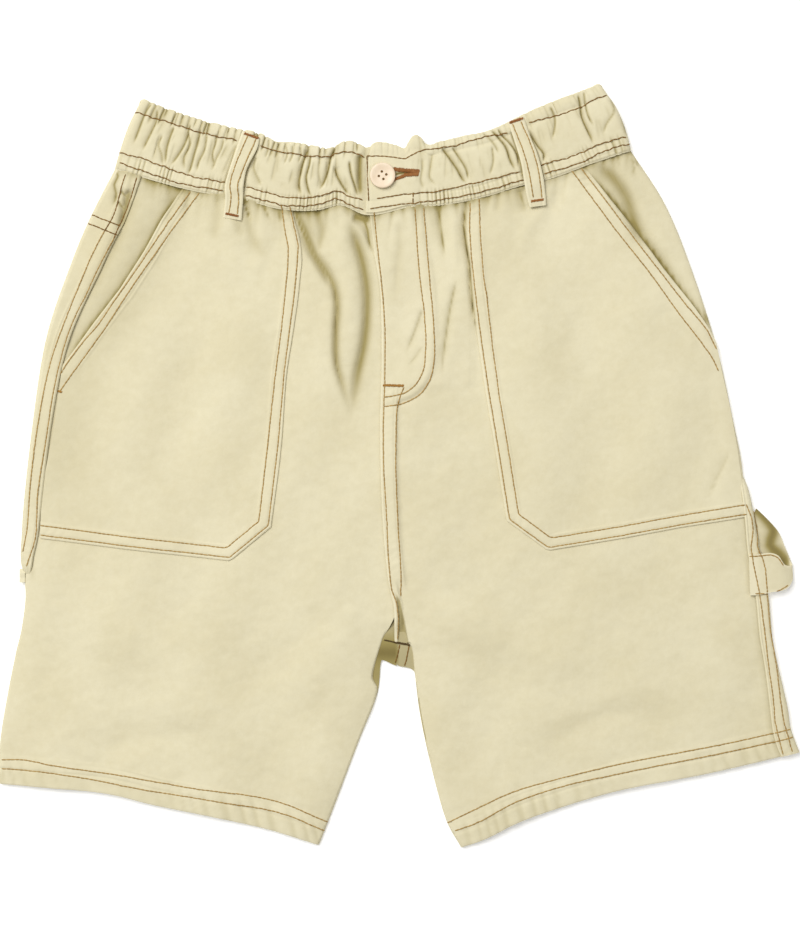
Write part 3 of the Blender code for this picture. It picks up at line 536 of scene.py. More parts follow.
class Nodes:
    """Builds a material's nodes in a chain."""

    def __init__(self, name: str) -> None:
        """Starts a material with only its shader and output.

        Args:
            name: Its name.
        """
        self.material = bpy.data.materials.new(name)
        self.material.use_nodes = True
        self.tree = self.material.node_tree
        self.shader = self.tree.nodes["Principled BSDF"]

    def add(self, kind: str, **settings: object) -> bpy.types.Node:
        """Adds a node and sets its properties.

        Args:
            kind: The node's type.
            settings: Its properties.

        Returns:
            The node.
        """
        node = self.tree.nodes.new(kind)
        for key, value in settings.items():
            setattr(node, key, value)
        return node

    def set(self, node: bpy.types.Node, **values: object) -> None:
        """Sets a node's inputs, whose names have _ for a space."""
        for key, value in values.items():
            node.inputs[key.replace("_", " ")].default_value = value

    def link(self, source: Socket, target: Socket) -> None:
        """Links two sockets."""
        self.tree.links.new(source, target)

    def object_coordinates(self) -> Socket:
        """The Object coordinates' socket."""
        return self.add("ShaderNodeTexCoord").outputs["Object"]

    def attribute(self, name: str) -> Socket:
        """The value of a mesh attribute."""
        return self.add("ShaderNodeAttribute", attribute_name=name).outputs["Fac"]

    def noise(self, place: Socket, scale: float, detail: float = 2.0) -> Socket:
        """Adds soft noise.

        Args:
            place: The coordinates it is read at.
            scale: Its cycles a metre.
            detail: How many finer layers it has.

        Returns:
            Its value, 0 to 1.
        """
        node = self.add("ShaderNodeTexNoise")
        self.set(node, Scale=scale, Detail=detail)
        self.link(place, node.inputs["Vector"])
        return node.outputs["Fac"]

    def ramp(self, source: Socket, low: float, high: float, most: float = 1.0) -> Socket:
        """Maps a range of a value onto 0 to a number, clamped.

        Args:
            source: The value.
            low: What becomes 0.
            high: What becomes the number.
            most: The number.

        Returns:
            The mapped value.
        """
        node = self.add("ShaderNodeMapRange")
        self.set(node, From_Min=low, From_Max=high, To_Min=0.0, To_Max=most)
        self.link(source, node.inputs["Value"])
        return node.outputs["Result"]

    def mix(self, factor: Socket, first: object, second: object) -> Socket:
        """Mixes two colours, each a socket or a plain colour.

        Args:
            factor: How much of the second there is, 0 to 1.
            first: The first colour.
            second: The second colour.

        Returns:
            The mixed colour.
        """
        node = self.add("ShaderNodeMix", data_type="RGBA")
        self.link(factor, node.inputs[0])
        for socket, value in ((node.inputs[6], first), (node.inputs[7], second)):
            if isinstance(value, Socket):
                self.link(value, socket)
            else:
                socket.default_value = (*value, 1.0)
        return node.outputs[2]

    def sum(self, *terms: tuple[Socket, float]) -> Socket:
        """Adds values up.

        Args:
            terms: The values, each with its weight.

        Returns:
            The sum.
        """
        total = None
        for source, weight in terms:
            node = self.add("ShaderNodeMath", operation="MULTIPLY_ADD")
            self.link(source, node.inputs[0])
            node.inputs[1].default_value, node.inputs[2].default_value = weight, 0.0
            if total is not None:
                self.link(total, node.inputs[2])
            total = node.outputs[0]
        return total

    def bump(self, height: Socket, distance: float, strength: float = 1.0) -> None:
        """Raises the shader's surface.

        Args:
            height: The height, 0 to 1.
            distance: What it is multiplied by, in metres.
            strength: How strongly it shows.
        """
        node = self.add("ShaderNodeBump")
        self.set(node, Strength=strength, Distance=distance)
        self.link(height, node.inputs["Height"])
        self.link(node.outputs["Normal"], self.shader.inputs["Normal"])


@dataclass(frozen=True)
class TwillFinish:
    """Washed cotton twill: fine ribs, cloudy dye, paler rubbed edges and painted shade in its creases."""

    name: str = "cream_twill"
    colour: Triple = (0.740, 0.680, 0.480)
    cloudy: Triple = (0.690, 0.626, 0.424)
    # Painted shade: the colour that creases and hollows are darkened to as the crease attribute rises to 1.
    crease: Triple = (0.300, 0.243, 0.080)
    rubbed: Triple = (0.830, 0.765, 0.560)
    # Deeper painted shade, as the crease attribute goes from 1 to 2: the fork's inside, the buttonhole slit,
    # the hammer loop's hollow and the deepest creases.
    inside: Triple = (0.075, 0.048, 0.009)
    cloud_scale: float = 22.0
    fleck_scale: float = 240.0
    slub_scale: float = 700.0
    rib_lean: float = -58.0
    rib_pitch: float = 0.62 * MM
    rib_height: float = 0.05 * MM
    slub_height: float = 0.30 * MM
    relief: float = 0.55
    roughness: float = 0.92
    shine: float = 0.2
    sheen: float = 0.10
    sheen_colour: tuple[float, float, float, float] = (1.0, 0.86, 0.55, 1.0)

    def material(self) -> bpy.types.Material:
        """Makes the cloth's material.

        Returns:
            The material, which reads its painted shade and how rubbed the cloth is from its attributes.
        """
        nodes = Nodes(self.name)
        place = nodes.object_coordinates()
        broad, fine = nodes.noise(place, self.cloud_scale, 3.0), nodes.noise(place, self.fleck_scale, 3.0)
        cloud = nodes.sum((broad, 0.65), (fine, 0.35))
        colour = nodes.mix(nodes.ramp(cloud, 0.37, 0.63), self.colour, self.cloudy)
        colour = nodes.mix(nodes.ramp(nodes.attribute("rub"), 0.0, 1.0, 0.75), colour, self.rubbed)
        # The crease attribute paints shade: up to 1 towards the crease colour, from 1 to 2 on towards the
        # deeper inside colour.
        colour = nodes.mix(nodes.ramp(nodes.attribute("crease"), 0.0, 1.0, 0.95), colour, self.crease)
        colour = nodes.mix(nodes.ramp(nodes.attribute("crease"), 1.0, 2.0), colour, self.inside)
        nodes.link(colour, nodes.shader.inputs["Base Color"])
        turn = nodes.add("ShaderNodeMapping")
        nodes.set(turn, Rotation=(0.0, 0.0, math.radians(self.rib_lean)))
        nodes.link(place, turn.inputs["Vector"])
        ribs = nodes.add("ShaderNodeTexWave", wave_type="BANDS", bands_direction="X")
        nodes.set(ribs, Scale=math.pi / (10.0 * self.rib_pitch), Distortion=0.6)
        nodes.link(turn.outputs["Vector"], ribs.inputs["Vector"])
        slub = nodes.noise(place, self.slub_scale)
        rib_share = self.rib_height / self.slub_height
        height = nodes.sum((ribs.outputs["Fac"], rib_share), (slub, 0.5), (fine, 1.0))
        nodes.bump(height, self.slub_height, self.relief)
        nodes.set(nodes.shader, Roughness=self.roughness, Specular_IOR_Level=self.shine)
        nodes.set(nodes.shader, Sheen_Weight=self.sheen, Sheen_Tint=self.sheen_colour)
        nodes.set(nodes.shader, Specular_Tint=self.sheen_colour)
        return nodes.material


@dataclass(frozen=True)
class ThreadFinish:
    """Sewing thread with a slight gloss and an uneven dye."""

    name: str
    colour: Triple
    faded: Triple
    fade_scale: float = 320.0
    twist_scale: float = 2500.0
    roughness: float = 0.6
    shine: float = 0.3

    def material(self) -> bpy.types.Material:
        """Makes the thread's material.

        Returns:
            The material.
        """
        nodes = Nodes(self.name)
        place = nodes.object_coordinates()
        fade = nodes.ramp(nodes.noise(place, self.fade_scale), 0.35, 0.65)
        nodes.link(nodes.mix(fade, self.colour, self.faded), nodes.shader.inputs["Base Color"])
        nodes.bump(nodes.noise(place, self.twist_scale, 1.0), 0.1 * MM, 0.6)
        nodes.set(nodes.shader, Roughness=self.roughness, Specular_IOR_Level=self.shine)
        return nodes.material


@dataclass(frozen=True)
class HornFinish:
    """Pale polished horn with soft clouds."""

    name: str = "pale_horn"
    colour: Triple = (0.83, 0.685, 0.51)
    cloudy: Triple = (0.79, 0.63, 0.45)
    cloud_scale: float = 260.0
    roughness: float = 0.38

    def material(self) -> bpy.types.Material:
        """Makes the button's material.

        Returns:
            The material.
        """
        nodes = Nodes(self.name)
        cloud = nodes.noise(nodes.object_coordinates(), self.cloud_scale, 3.0)
        colour = nodes.mix(nodes.ramp(cloud, 0.35, 0.7), self.colour, self.cloudy)
        nodes.link(colour, nodes.shader.inputs["Base Color"])
        nodes.bump(cloud, 0.05 * MM, 0.3)
        nodes.set(nodes.shader, Roughness=self.roughness)
        return nodes.material


class Finish(Enum):
    """The finishes that the pieces take."""

    TWILL = TwillFinish()
    # A darker brown thread: on the waistband and at the top of the right side seam its darkness is partly
    # painted shade of the hollows it lies in.
    BROWN_THREAD = ThreadFinish("brown_thread", (0.165, 0.079, 0.011), (0.25, 0.131, 0.025))
    TAN_THREAD = ThreadFinish("tan_thread", (0.33, 0.198, 0.053), (0.47, 0.31, 0.105))
    AMBER_THREAD = ThreadFinish("amber_thread", (0.36, 0.17, 0.03), (0.45, 0.24, 0.05))
    # Near-black bars along the fork seam: its thread with the seam's shadow painted in.
    SHADED_THREAD = ThreadFinish("shaded_thread", (0.075, 0.045, 0.012), (0.10, 0.06, 0.016))
    RUST_THREAD = ThreadFinish("rust_thread", (0.270, 0.100, 0.024), (0.36, 0.15, 0.04))
    HORN = HornFinish()


class Wardrobe:
    """Makes each finish's material once and hands it out."""

    def __init__(self) -> None:
        """Starts with no materials."""
        self._made: dict[Finish, bpy.types.Material] = {}

    def dress(self, obj: Obj, finish: Finish) -> None:
        """Gives an object a finish as its only material.

        Args:
            obj: The object.
            finish: The finish.
        """
        if finish not in self._made:
            self._made[finish] = finish.value.material()
        obj.data.materials.clear()
        obj.data.materials.append(self._made[finish])


# ---------- The lie of the cloth ----------


class Side(Enum):
    """The wearer's right and left."""

    RIGHT = "right"
    LEFT = "left"

    @property
    def leg(self) -> tuple[Section, ...]:
        """The table of this side's leg."""
        return RIGHT_LEG if self is Side.RIGHT else LEFT_LEG


@dataclass(frozen=True)
class SeamBand:
    """The relief of a folded edge sewn down with two lines of stitches."""

    first: float = 2.1 * MM
    second: float = 8.5 * MM
    puff: float = 0.50 * MM
    valley: float = 0.38 * MM
    valley_width: float = 0.75 * MM
    edge: float = 1.0 * MM
    edge_drop: float = 0.55 * MM
    pucker: float = 0.13 * MM
    pucker_pitch: float = 5.2 * MM

    def relief(self, distance: Array, along: Array) -> Array:
        """Height that the seam adds.

        Args:
            distance: How far in from the folded edge each point is.
            along: How far along the seam it is.

        Returns:
            The height in metres.
        """
        rise = ease(distance / self.edge)
        fall = 1 - ease((distance - self.second - 0.8 * MM) / (1.6 * MM))
        height = self.puff * fall - self.edge_drop * (1 - rise)
        for line in (self.first, self.second):
            height -= self.valley * bell(distance - line, self.valley_width)
        turn = 2 * math.pi * (along + 0.5 * distance) / self.pucker_pitch
        wander = 0.7 + 0.5 * np.sin(along / (17.0 * MM)) + 0.3 * np.sin(along / (6.1 * MM) + 1.0)
        middle = bell(distance - (self.first + self.second) / 2, (self.second - self.first) / 1.6)
        return height + self.pucker * np.sin(turn + 2.0 * np.sin(along / (23.0 * MM))) * wander * middle

    def wear(self, distance: Array) -> Array:
        """How rubbed the seam's folded edge and the rise between its lines are.

        Args:
            distance: How far in from the folded edge each point is.

        Returns:
            The wear, 0 to 1.
        """
        edge = (1 - ease((distance - 0.4 * MM) / (1.3 * MM))) * (0.3 + 0.7 * ease(distance / (0.6 * MM)))
        middle = bell(distance - (self.first + self.second) / 2, (self.second - self.first) / 2.6)
        return np.clip(0.75 * edge + 0.22 * middle, 0.0, 1.0)


def band_keys() -> tuple[Array, Array]:
    """The waistband's table as rising seam places and rows of seam point and top point, in metres."""
    keys = np.array([station.seam_x for station in BAND]) * MM
    return keys, np.array([station[1:] for station in BAND], float) * MM


def waist_y(x: Array) -> Array:
    """Y of the waist seam at a place along X."""
    keys, values = band_keys()
    return hermite(keys, values, np.clip(x, keys[0], keys[-1]))[..., 1]


class FoldField:
    """Folds placed one by one, read as a height over the plan."""

    # Shade is painted along each fold's trough: narrow folds get a dark painted line, wider ones a broad
    # painted shade, the widest none.
    SHARP = 2.0  # narrower folds than this, in millimetres, are creases with a dark line
    SOFT = 3.5  # wider folds than this have no shade of their own
    LINE = 0.6 * MM  # width of a crease's dark line
    REACH = 3.0  # how many widths to each side a fold is felt

    def __init__(self, folds: Sequence[Fold], start: float = 0.16, end: float = 0.30) -> None:
        """Prepares the folds' paths.

        Args:
            folds: The table of folds.
            start: The part of its path over which a fold rises to its depth.
            end: The part over which it dies out.
        """
        self._folds = [(fold, Path(fold.path, step=3.0 * MM)) for fold in folds]
        self._start, self._end = start, end

    def read(self, plan: Array) -> tuple[Array, Array]:
        """Reads the folds at points in plan.

        Args:
            plan: The points.

        Returns:
            The height that the folds add, and the shade painted at the bottom of each crease, 0 to 1.
        """
        relief, shade = np.zeros(plan.shape[:-1]), np.zeros(plan.shape[:-1])
        for fold, path in self._folds:
            reach = self.REACH * max(fold.left, fold.right) * MM
            low, high = path.points.min(0) - reach, path.points.max(0) + reach
            near = np.all((plan > low) & (plan < high), axis=-1)
            if not near.any():
                continue
            distance, side, along = path.near(plan[near])
            width = np.where(side > 0, fold.left, fold.right) * MM
            narrow = min(fold.left, fold.right)
            power = 1.15 if narrow < self.SHARP else 1.5 if narrow < self.SOFT else 2.0
            part = along / path.length
            taper = ease(part / self._start) * ease((1 - part) / self._end)
            form = np.exp(-((distance / width) ** power)) * taper
            relief[near] += fold.depth * MM * form
            if fold.depth >= 0 or narrow >= self.SOFT:
                continue
            if narrow < self.SHARP:
                dark = min(1.0, -fold.depth / 2.0) * 0.6 * form**1.3
                dark += taper * min(1.2, -fold.depth / 1.7) * 0.42 * bell(distance, self.LINE)
            else:
                dark = min(1.0, -fold.depth / 3.5) * form**0.9
            shade[near] = np.maximum(shade[near], dark)
        return relief, shade


@dataclass
class Form:
    """The height of the garment's front over its plan: level cloth, rounded edges, folds and swells."""

    level: float = 5.0 * MM
    side_drop: float = 0.30
    side_roll: float = 8.0 * MM
    inner_height: float = 2.8 * MM
    inner_roll: float = 7.0 * MM
    closed_below: float = -100.0 * MM
    swell: float = 0.60 * MM
    swell_waves: tuple[int, float, float] = (9, 46.0, 105.0)
    crumple: float = 0.055 * MM
    crumple_waves: tuple[int, float, float] = (16, 9.0, 24.0)
    ripple: float = 1.35 * MM
    ripple_reach: float = 20.0 * MM
    ripple_gaps: tuple[float, float] = (3.2, 8.5)
    ripple_sizes: tuple[float, float] = (0.3, 1.0)
    ripple_widths: tuple[float, float] = (0.8, 2.6)
    ripple_reaches: tuple[float, float] = (0.25, 1.2)
    ripple_lean: float = 0.22
    seed: int = 11
    # Shade painted broadly over the right hip: its path, its width and its strength.
    hip: Points = ((-176, 165), (-196, 112), (-224, 50), (-234, 0))
    hip_width: float = 34.0 * MM
    hip_shade: float = 0.17
    waist_from: float = -176.0
    waist_to: float = 146.0

    def __post_init__(self) -> None:
        """Prepares the edges, the swells and the waist's ripples."""
        self.sides, self.inners = {}, {}
        for side in Side:
            self.sides[side] = Path([(row.side_x, row.side_y) for row in side.leg])
            begun = [row for row in side.leg if row.closed or (row.name == "crotch" and side is Side.RIGHT)]
            self.inners[side] = Path([(row.front_x, row.front_y) for row in begun])
        self._hip, self._folds = Path(self.hip), FoldField(FOLDS)
        draw = np.random.default_rng(self.seed)
        self._swells = self._draw_waves(draw, *self.swell_waves)
        self._crumples = self._draw_waves(draw, *self.crumple_waves)
        self._ripples = []
        place = self.waist_from
        while place < self.waist_to:
            place += draw.uniform(*self.ripple_gaps)
            size, width = draw.uniform(*self.ripple_sizes), draw.uniform(*self.ripple_widths)
            reach = draw.uniform(*self.ripple_reaches)
            lean = draw.uniform(-self.ripple_lean, self.ripple_lean)
            self._ripples.append((place, size, width, reach, lean))

    @staticmethod
    def _draw_waves(
        draw: np.random.Generator, count: int, shortest: float, longest: float
    ) -> tuple[Array, Array]:
        """Draws waves that run every way over the plan.

        Args:
            draw: The random draws.
            count: How many waves there are.
            shortest: The shortest wave, in millimetres.
            longest: The longest wave.

        Returns:
            Each wave's vector, in turns a metre, and each wave's phase.
        """
        turns = draw.uniform(0.0, 2 * math.pi, count)
        lengths = draw.uniform(shortest, longest, count)[:, None]
        vectors = np.stack([np.cos(turns), np.sin(turns)], -1) / lengths / MM
        return vectors, draw.uniform(0.0, 2 * math.pi, count)

    @staticmethod
    def below_waist(plan: Array) -> Array:
        """Distance of points in plan below the waist seam, 0 above it."""
        return np.maximum(waist_y(plan[..., 0]) - plan[..., 1], 0.0)

    def waist_ripples(self, plan: Array) -> Array:
        """Height of the ripples that run down from the gathered waist.

        Args:
            plan: Points in plan.

        Returns:
            Their heights, all 0 or below.
        """
        down = self.below_waist(plan)
        height = np.zeros(plan.shape[:-1])
        for place, size, width, reach, lean in self._ripples:
            fade = np.exp(-((down / (self.ripple_reach * reach)) ** 1.5))
            spread = width * MM * (1 + down / (22.0 * MM))
            across = np.abs(plan[..., 0] - place * MM - lean * down) / spread
            height -= size * np.exp(-(across**1.3)) * fade
        return self.ripple * height

    @staticmethod
    def waves(plan: Array, drawn: tuple[Array, Array]) -> Array:
        """A sum of drawn waves at points in plan, each between -1 and 1."""
        return sum(np.sin(2 * math.pi * (plan @ vector) + phase) for vector, phase in zip(*drawn))

    def height(self, plan: Array, side: Side) -> Array:
        """The outer skin of the front.

        Args:
            plan: Points in plan.
            side: The leg they are on.

        Returns:
            Their heights above the surface.
        """
        from_side = self.sides[side].near(plan)[0]
        from_inner, _, along = self.inners[side].near(plan)
        closed = ease(along / (8.0 * MM)) * (plan[..., 1] < self.closed_below)
        height = self.level * (1 - self.side_drop * np.exp(-from_side / self.side_roll))
        free = ease(from_side / (2 * self.side_roll))
        under_band = ease((self.below_waist(plan) + 2.0 * MM) / (4.0 * MM))
        height = height + self._folds.read(plan)[0] * free * under_band
        height += self.waist_ripples(plan) * free
        height += self.swell * self.waves(plan, self._swells) * free * 0.55
        height += self.crumple * self.waves(plan, self._crumples) * free * 0.6
        edge = closed * np.exp(-from_inner / self.inner_roll)
        return np.maximum(height * (1 - edge) + self.inner_height * edge, self.inner_height * 0.9)

    def crease(self, plan: Array) -> Array:
        """Shade painted in the creases, in the waist's ripples, under the band and over the right hip.

        Args:
            plan: Points in plan.

        Returns:
            Their painted shade, 0 to 1.1.
        """
        down = self.below_waist(plan)
        ripples = -0.75 * self.waist_ripples(plan) / MM * np.exp(-down / (12.0 * MM))
        under_band = 0.42 * bell(down, 3.0 * MM)
        hip = self.hip_shade * bell(self._hip.near(plan)[0], self.hip_width)
        return np.clip(self._folds.read(plan)[1] + np.clip(ripples, 0, 0.6) + under_band + hip, 0.0, 1.1)


class LegRows:
    """A leg's sections, read at rows from the waist to the hem."""

    HEM_ROWS = 3.5  # how many rows of the table take on the hem's curved edge
    WAIST_ROWS = 2.0  # how many take on the waist seam's line
    HEM_DEPTH = 23.0 * MM  # how far above the hem the rows are close together

    def __init__(self, side: Side, places: Array) -> None:
        """Reads the table smoothly.

        Args:
            side: The leg.
            places: Where the rows are, in rows of the table.
        """
        leg = side.leg
        table = np.array([row[1:] for row in leg], float)
        table[:, :8] *= MM
        values = hermite(np.arange(len(leg), dtype=float), table, places, steady=True)
        self.places = places
        self.hem_from = len(leg) - self.HEM_ROWS
        self.side, self.front, self.back = values[:, 0:2], values[:, 3:5], values[:, 5:7]
        self.seam_in, self.bow = values[:, 2], values[:, 7]
        self.closed, self.rolls = np.clip(values[:, 8], 0, 1), ease(values[:, 9])
        first, last = leg[0], leg[-1]
        self.waist = np.array([first.side_x, first.side_y, first.front_x, first.front_y]) * MM
        self.hem = np.array([last.side_x, last.side_y, last.front_x, last.front_y, last.bow]) * MM
        self.hem_edge = np.array(HEM_EDGES[side.value]) * MM

    @staticmethod
    def spaced(side: Side, step: float, hem_step: float, first: float = 0.0) -> Array:
        """Places down a leg at a step, finer at the hem.

        Args:
            side: The leg.
            step: The distance between rows.
            hem_step: The distance between rows near the hem.
            first: The place to start at.

        Returns:
            The places, in rows of the table.
        """
        leg = side.leg
        sides = np.array([(row.side_x, row.side_y, row.front_x, row.front_y) for row in leg]) * MM
        moved = np.diff(sides, axis=0)
        steps = (np.hypot(moved[:, 0], moved[:, 1]) + np.hypot(moved[:, 2], moved[:, 3])) / 2
        down = np.concatenate([[0.0], np.cumsum(steps)])
        start = float(np.interp(first, np.arange(len(leg)), down))
        turn = down[-1] - LegRows.HEM_DEPTH
        rows = np.linspace(start, turn, max(2, math.ceil((turn - start) / step)), endpoint=False)
        hem_rows = np.linspace(turn, down[-1], math.ceil(LegRows.HEM_DEPTH / hem_step) + 1)
        rows = np.concatenate([rows, hem_rows])
        return np.interp(rows, down, np.arange(len(leg)))

    def length(self, on_back: bool = False) -> Array:
        """Length of each section, in a column."""
        inner = self.back if on_back else self.front
        return np.linalg.norm(inner - self.side, axis=1)[:, None]

    def plan(self, run: Array, on_back: bool = False) -> Array:
        """Points in plan at distances in from the side.

        Args:
            run: Rows by columns of distances.
            on_back: Whether the sections end at the back's inner edge.

        Returns:
            Rows by columns of points.
        """
        inner = self.back if on_back else self.front
        part = (run / self.length(on_back))[..., None]
        points = self.side[:, None] + (inner - self.side)[:, None] * part
        part = part[..., 0]
        points[..., 1] += self.bow[:, None] * 4 * part * (1 - part)
        clamped = np.clip(part, 0.0, 1.0)
        x = self.hem[0] + (self.hem[2] - self.hem[0]) * clamped
        straight = self.hem[1] + (self.hem[3] - self.hem[1]) * clamped
        straight = straight + self.hem[4] * 4 * clamped * (1 - clamped)
        edge = hermite(self.hem_edge[:, 0], self.hem_edge[:, 1], x)
        points[..., 1] += (edge - straight) * ease((self.places - self.hem_from) / 2.5)[:, None]
        if not on_back:
            x = self.waist[0] + (self.waist[2] - self.waist[0]) * clamped
            straight = self.waist[1] + (self.waist[3] - self.waist[1]) * clamped
            points[..., 1] += (waist_y(x) - straight) * (1 - ease(self.places / self.WAIST_ROWS))[:, None]
        return points


# ---------- Cloth pieces ----------


class Cut(NamedTuple):
    """The size a piece was cut to: its width and length, and its flat area in square metres."""

    width: float
    length: float
    area: float | None = None


@dataclass
class Piece:
    """What every cloth piece shares: the solid it stands for, its cut and its dressing."""

    node: str
    cut: Cut
    held: str = "laid"
    rests_on: tuple[str, ...] = ()
    finish: Finish = Finish.TWILL

    @property
    def name(self) -> str:
        """The visible piece's name."""
        return f"{self.node}_cloth"

    def finish_piece(self, obj: Obj, wardrobe: Wardrobe) -> Obj:
        """Gives the piece its finish and body, hides the part it stands for and logs its faces and area.

        Args:
            obj: The finished mesh object.
            wardrobe: Where the finishes come from.

        Returns:
            The same object.
        """
        wardrobe.dress(obj, self.finish)
        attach(obj, BODY)
        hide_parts(self.node)
        cloth_area = sum(face.area for face in obj.data.polygons) / 2
        LOG.info("%s: %d faces, %.4f square metres of cloth", obj.name, len(obj.data.polygons), cloth_area)
        return obj


@dataclass(frozen=True)
class Fly:
    """The strip lapped down the middle of the front: the fly with its round end, then the crotch seam."""

    width: float = 34.0 * MM
    bottom: float = 44.0 * MM
    seam: float = 9.0 * MM

    def lap(self, y: Array) -> Array:
        """Width of the strip at places along Y."""
        down = np.clip((self.bottom + self.width - y) / self.width, 0.0, 1.0)
        return self.seam + (self.width - self.seam) * np.sqrt(1 - down * down)


@dataclass
class Front(Piece):
    """A front, laid on the form, with its outer side rolled under or tucked below the back's lap."""

    side: Side = Side.RIGHT
    form: Form = field(default_factory=Form)
    thickness: float = 0.8 * MM
    row_step: float = 1.65 * MM
    hem_step: float = 0.8 * MM
    hem_band: SeamBand = SeamBand(first=10.5 * MM, second=17.0 * MM, puff=0.5 * MM, pucker=0.10 * MM)
    edge_band: SeamBand = SeamBand(second=9.4 * MM)
    edge_line: SeamBand = SeamBand(second=60.0 * MM, pucker=0.0)
    hem_ripple: float = 0.34 * MM
    hem_reach: float = 24.0 * MM
    ripple_from: float = 8.0 * MM
    ripple_fade: float = 14.0 * MM
    ripple_lean: float = 0.25
    ripple_shade: float = 0.22
    into_band: float = 4.0 * MM
    roll: float = 3.0 * MM
    rolled_columns: int = 9
    lap_rise: float = 1.35 * MM
    lap_fade: float = 5.0 * MM
    strip_single: tuple[float, float] = (50.0 * MM, 6.0 * MM)
    strip_narrow: tuple[float, float] = (-74.0 * MM, 12.0 * MM)
    strip_end: tuple[float, float] = (-104.0 * MM, 9.0 * MM)
    strip_foot: tuple[float, float] = (4.2 * MM, 2.4 * MM)
    inner_radius: float = 1.3 * MM
    inner_drop: float = 0.6
    seam_shade: float = 0.3
    seam_shade_width: float = 0.9 * MM
    fly: Fly = Fly()
    seam_reach: float = 13.5 * MM
    inner_reach: float = 70.0 * MM
    tuck: float = 9.0 * MM
    sunk_by: float = 2.6 * MM
    sunk_shade: float = 0.85
    mouth_dip: float = 1.0 * MM
    mouth_reach: float = 8.0 * MM
    mouth: Path | None = None
    tucked_ends: tuple[float, float] = (7.0 * MM, 4.4 * MM)
    under_height: float = 0.9 * MM
    fork_gap: Points = ((-3.6, -83.0), (0.6, -90.0), (3.4, -103.5), (6.2, -119.5))
    fork_strip: Points = ((-4.4, -83.0), (-2.6, -90.0), (-1.6, -98.0), (-1.7, -119.5))

    def runs(self, rows: LegRows) -> tuple[Array, int]:
        """Spaces the columns out, finely at the seams.

        Args:
            rows: The leg's rows.

        Returns:
            Distances in from the side of each row's columns, and how many of them can roll under.
        """
        length = rows.length()
        tuck = self.tuck * ease((rows.front[:, 1:] + 113.0 * MM) / (30 * MM))
        seam, inside = self.seam_reach, self.inner_reach
        fine = np.concatenate([np.arange(0.0, seam, FINE_STEP), np.arange(seam, inside, 1.3 * MM)])
        start = np.maximum(rows.seam_in[:, None] - 7.0 * MM, 1.2 * MM)
        rolled = self.rolled_columns
        begin = (start + 3.0 * MM) * (1 - rows.rolls[:, None]) + self.roll * rows.rolls[:, None]
        tucked = start + 3.0 * MM * np.linspace(0.0, 1.0, rolled, endpoint=False)[None, :]
        inner = length + tuck - fine[None, ::-1]
        middle_count = max(12, int(float(np.mean(inner[:, 0] - begin[:, 0])) / (2.5 * MM)))
        middle = begin + (inner[:, :1] - begin) * np.linspace(0.0, 1.0, middle_count, endpoint=False)[None, :]
        return np.concatenate([tucked, middle, inner], axis=1), rolled

    def build(self) -> Obj:
        """Models the front.

        Returns:
            The finished object.
        """
        places = LegRows.spaced(self.side, self.row_step, self.hem_step)
        rows = LegRows(self.side, np.concatenate([[places[0]], places]))
        run, rolled = self.runs(rows)
        plan = rows.plan(run)
        plan[0, :, 1] += self.into_band
        height = self.form.height(plan, self.side)
        painted_shade, wear = self.form.crease(plan), np.zeros(run.shape)
        sunk = self.sunk_wedge(plan)
        height -= self.sunk_by * sunk
        if self.mouth is not None:
            distance, _, along = self.mouth.near(plan)
            reach = ease(along / (20 * MM)) * ease((self.mouth.length - along) / (26 * MM))
            height -= self.mouth_dip * bell(distance, self.mouth_reach) * reach
            # Shade painted along the pocket's mouth, where it gapes.
            beside = (0.3 * bell(distance, 4.0 * MM) + 0.8 * bell(distance, 1.5 * MM)) * reach
            painted_shade = np.clip(painted_shade + beside, 0.0, 1.15)
        # Shade painted beside the edge of the back's lap.
        from_seam = run - rows.seam_in[:, None] - 0.5 * MM
        beside = self.seam_shade * bell(from_seam, self.seam_shade_width) * (1 - rows.rolls[:, None])
        painted_shade = np.maximum(painted_shade, beside)
        from_inner, closed = rows.length() - run, rows.closed[:, None]
        if self.side is Side.LEFT:
            height, wear = self.strip_over(plan, height, from_inner, closed)
            # Shade painted in the sunk wedge beside the crotch strip.
            painted_shade = np.maximum(painted_shade, self.sunk_shade * sunk)
        hem = self.from_hem(plan)
        height += self.hem_band.relief(hem, plan[..., 0]) * (hem < self.hem_reach)
        fade = 1 - ease((hem - self.ripple_from) / self.ripple_fade)
        ripple = self.rippled(plan[..., 0] + self.ripple_lean * plan[..., 1]) * fade
        height += self.hem_ripple * ripple
        # Shade painted in the troughs of the hem's ripples.
        painted_shade = np.maximum(painted_shade, self.ripple_shade * np.clip(-ripple, 0.0, 1.0))
        wear = np.maximum(wear, self.hem_band.wear(hem) * (hem < self.hem_reach))
        inner_turn = np.clip(1 - from_inner / self.inner_radius, 0.0, 1.0) * closed
        height = height * (1 - inner_turn**2 * self.inner_drop)
        self.roll_under(plan, height, rows, rolled)
        return thicken(lay_grid(self.name, plan, height, True, painted_shade, wear), self.thickness)

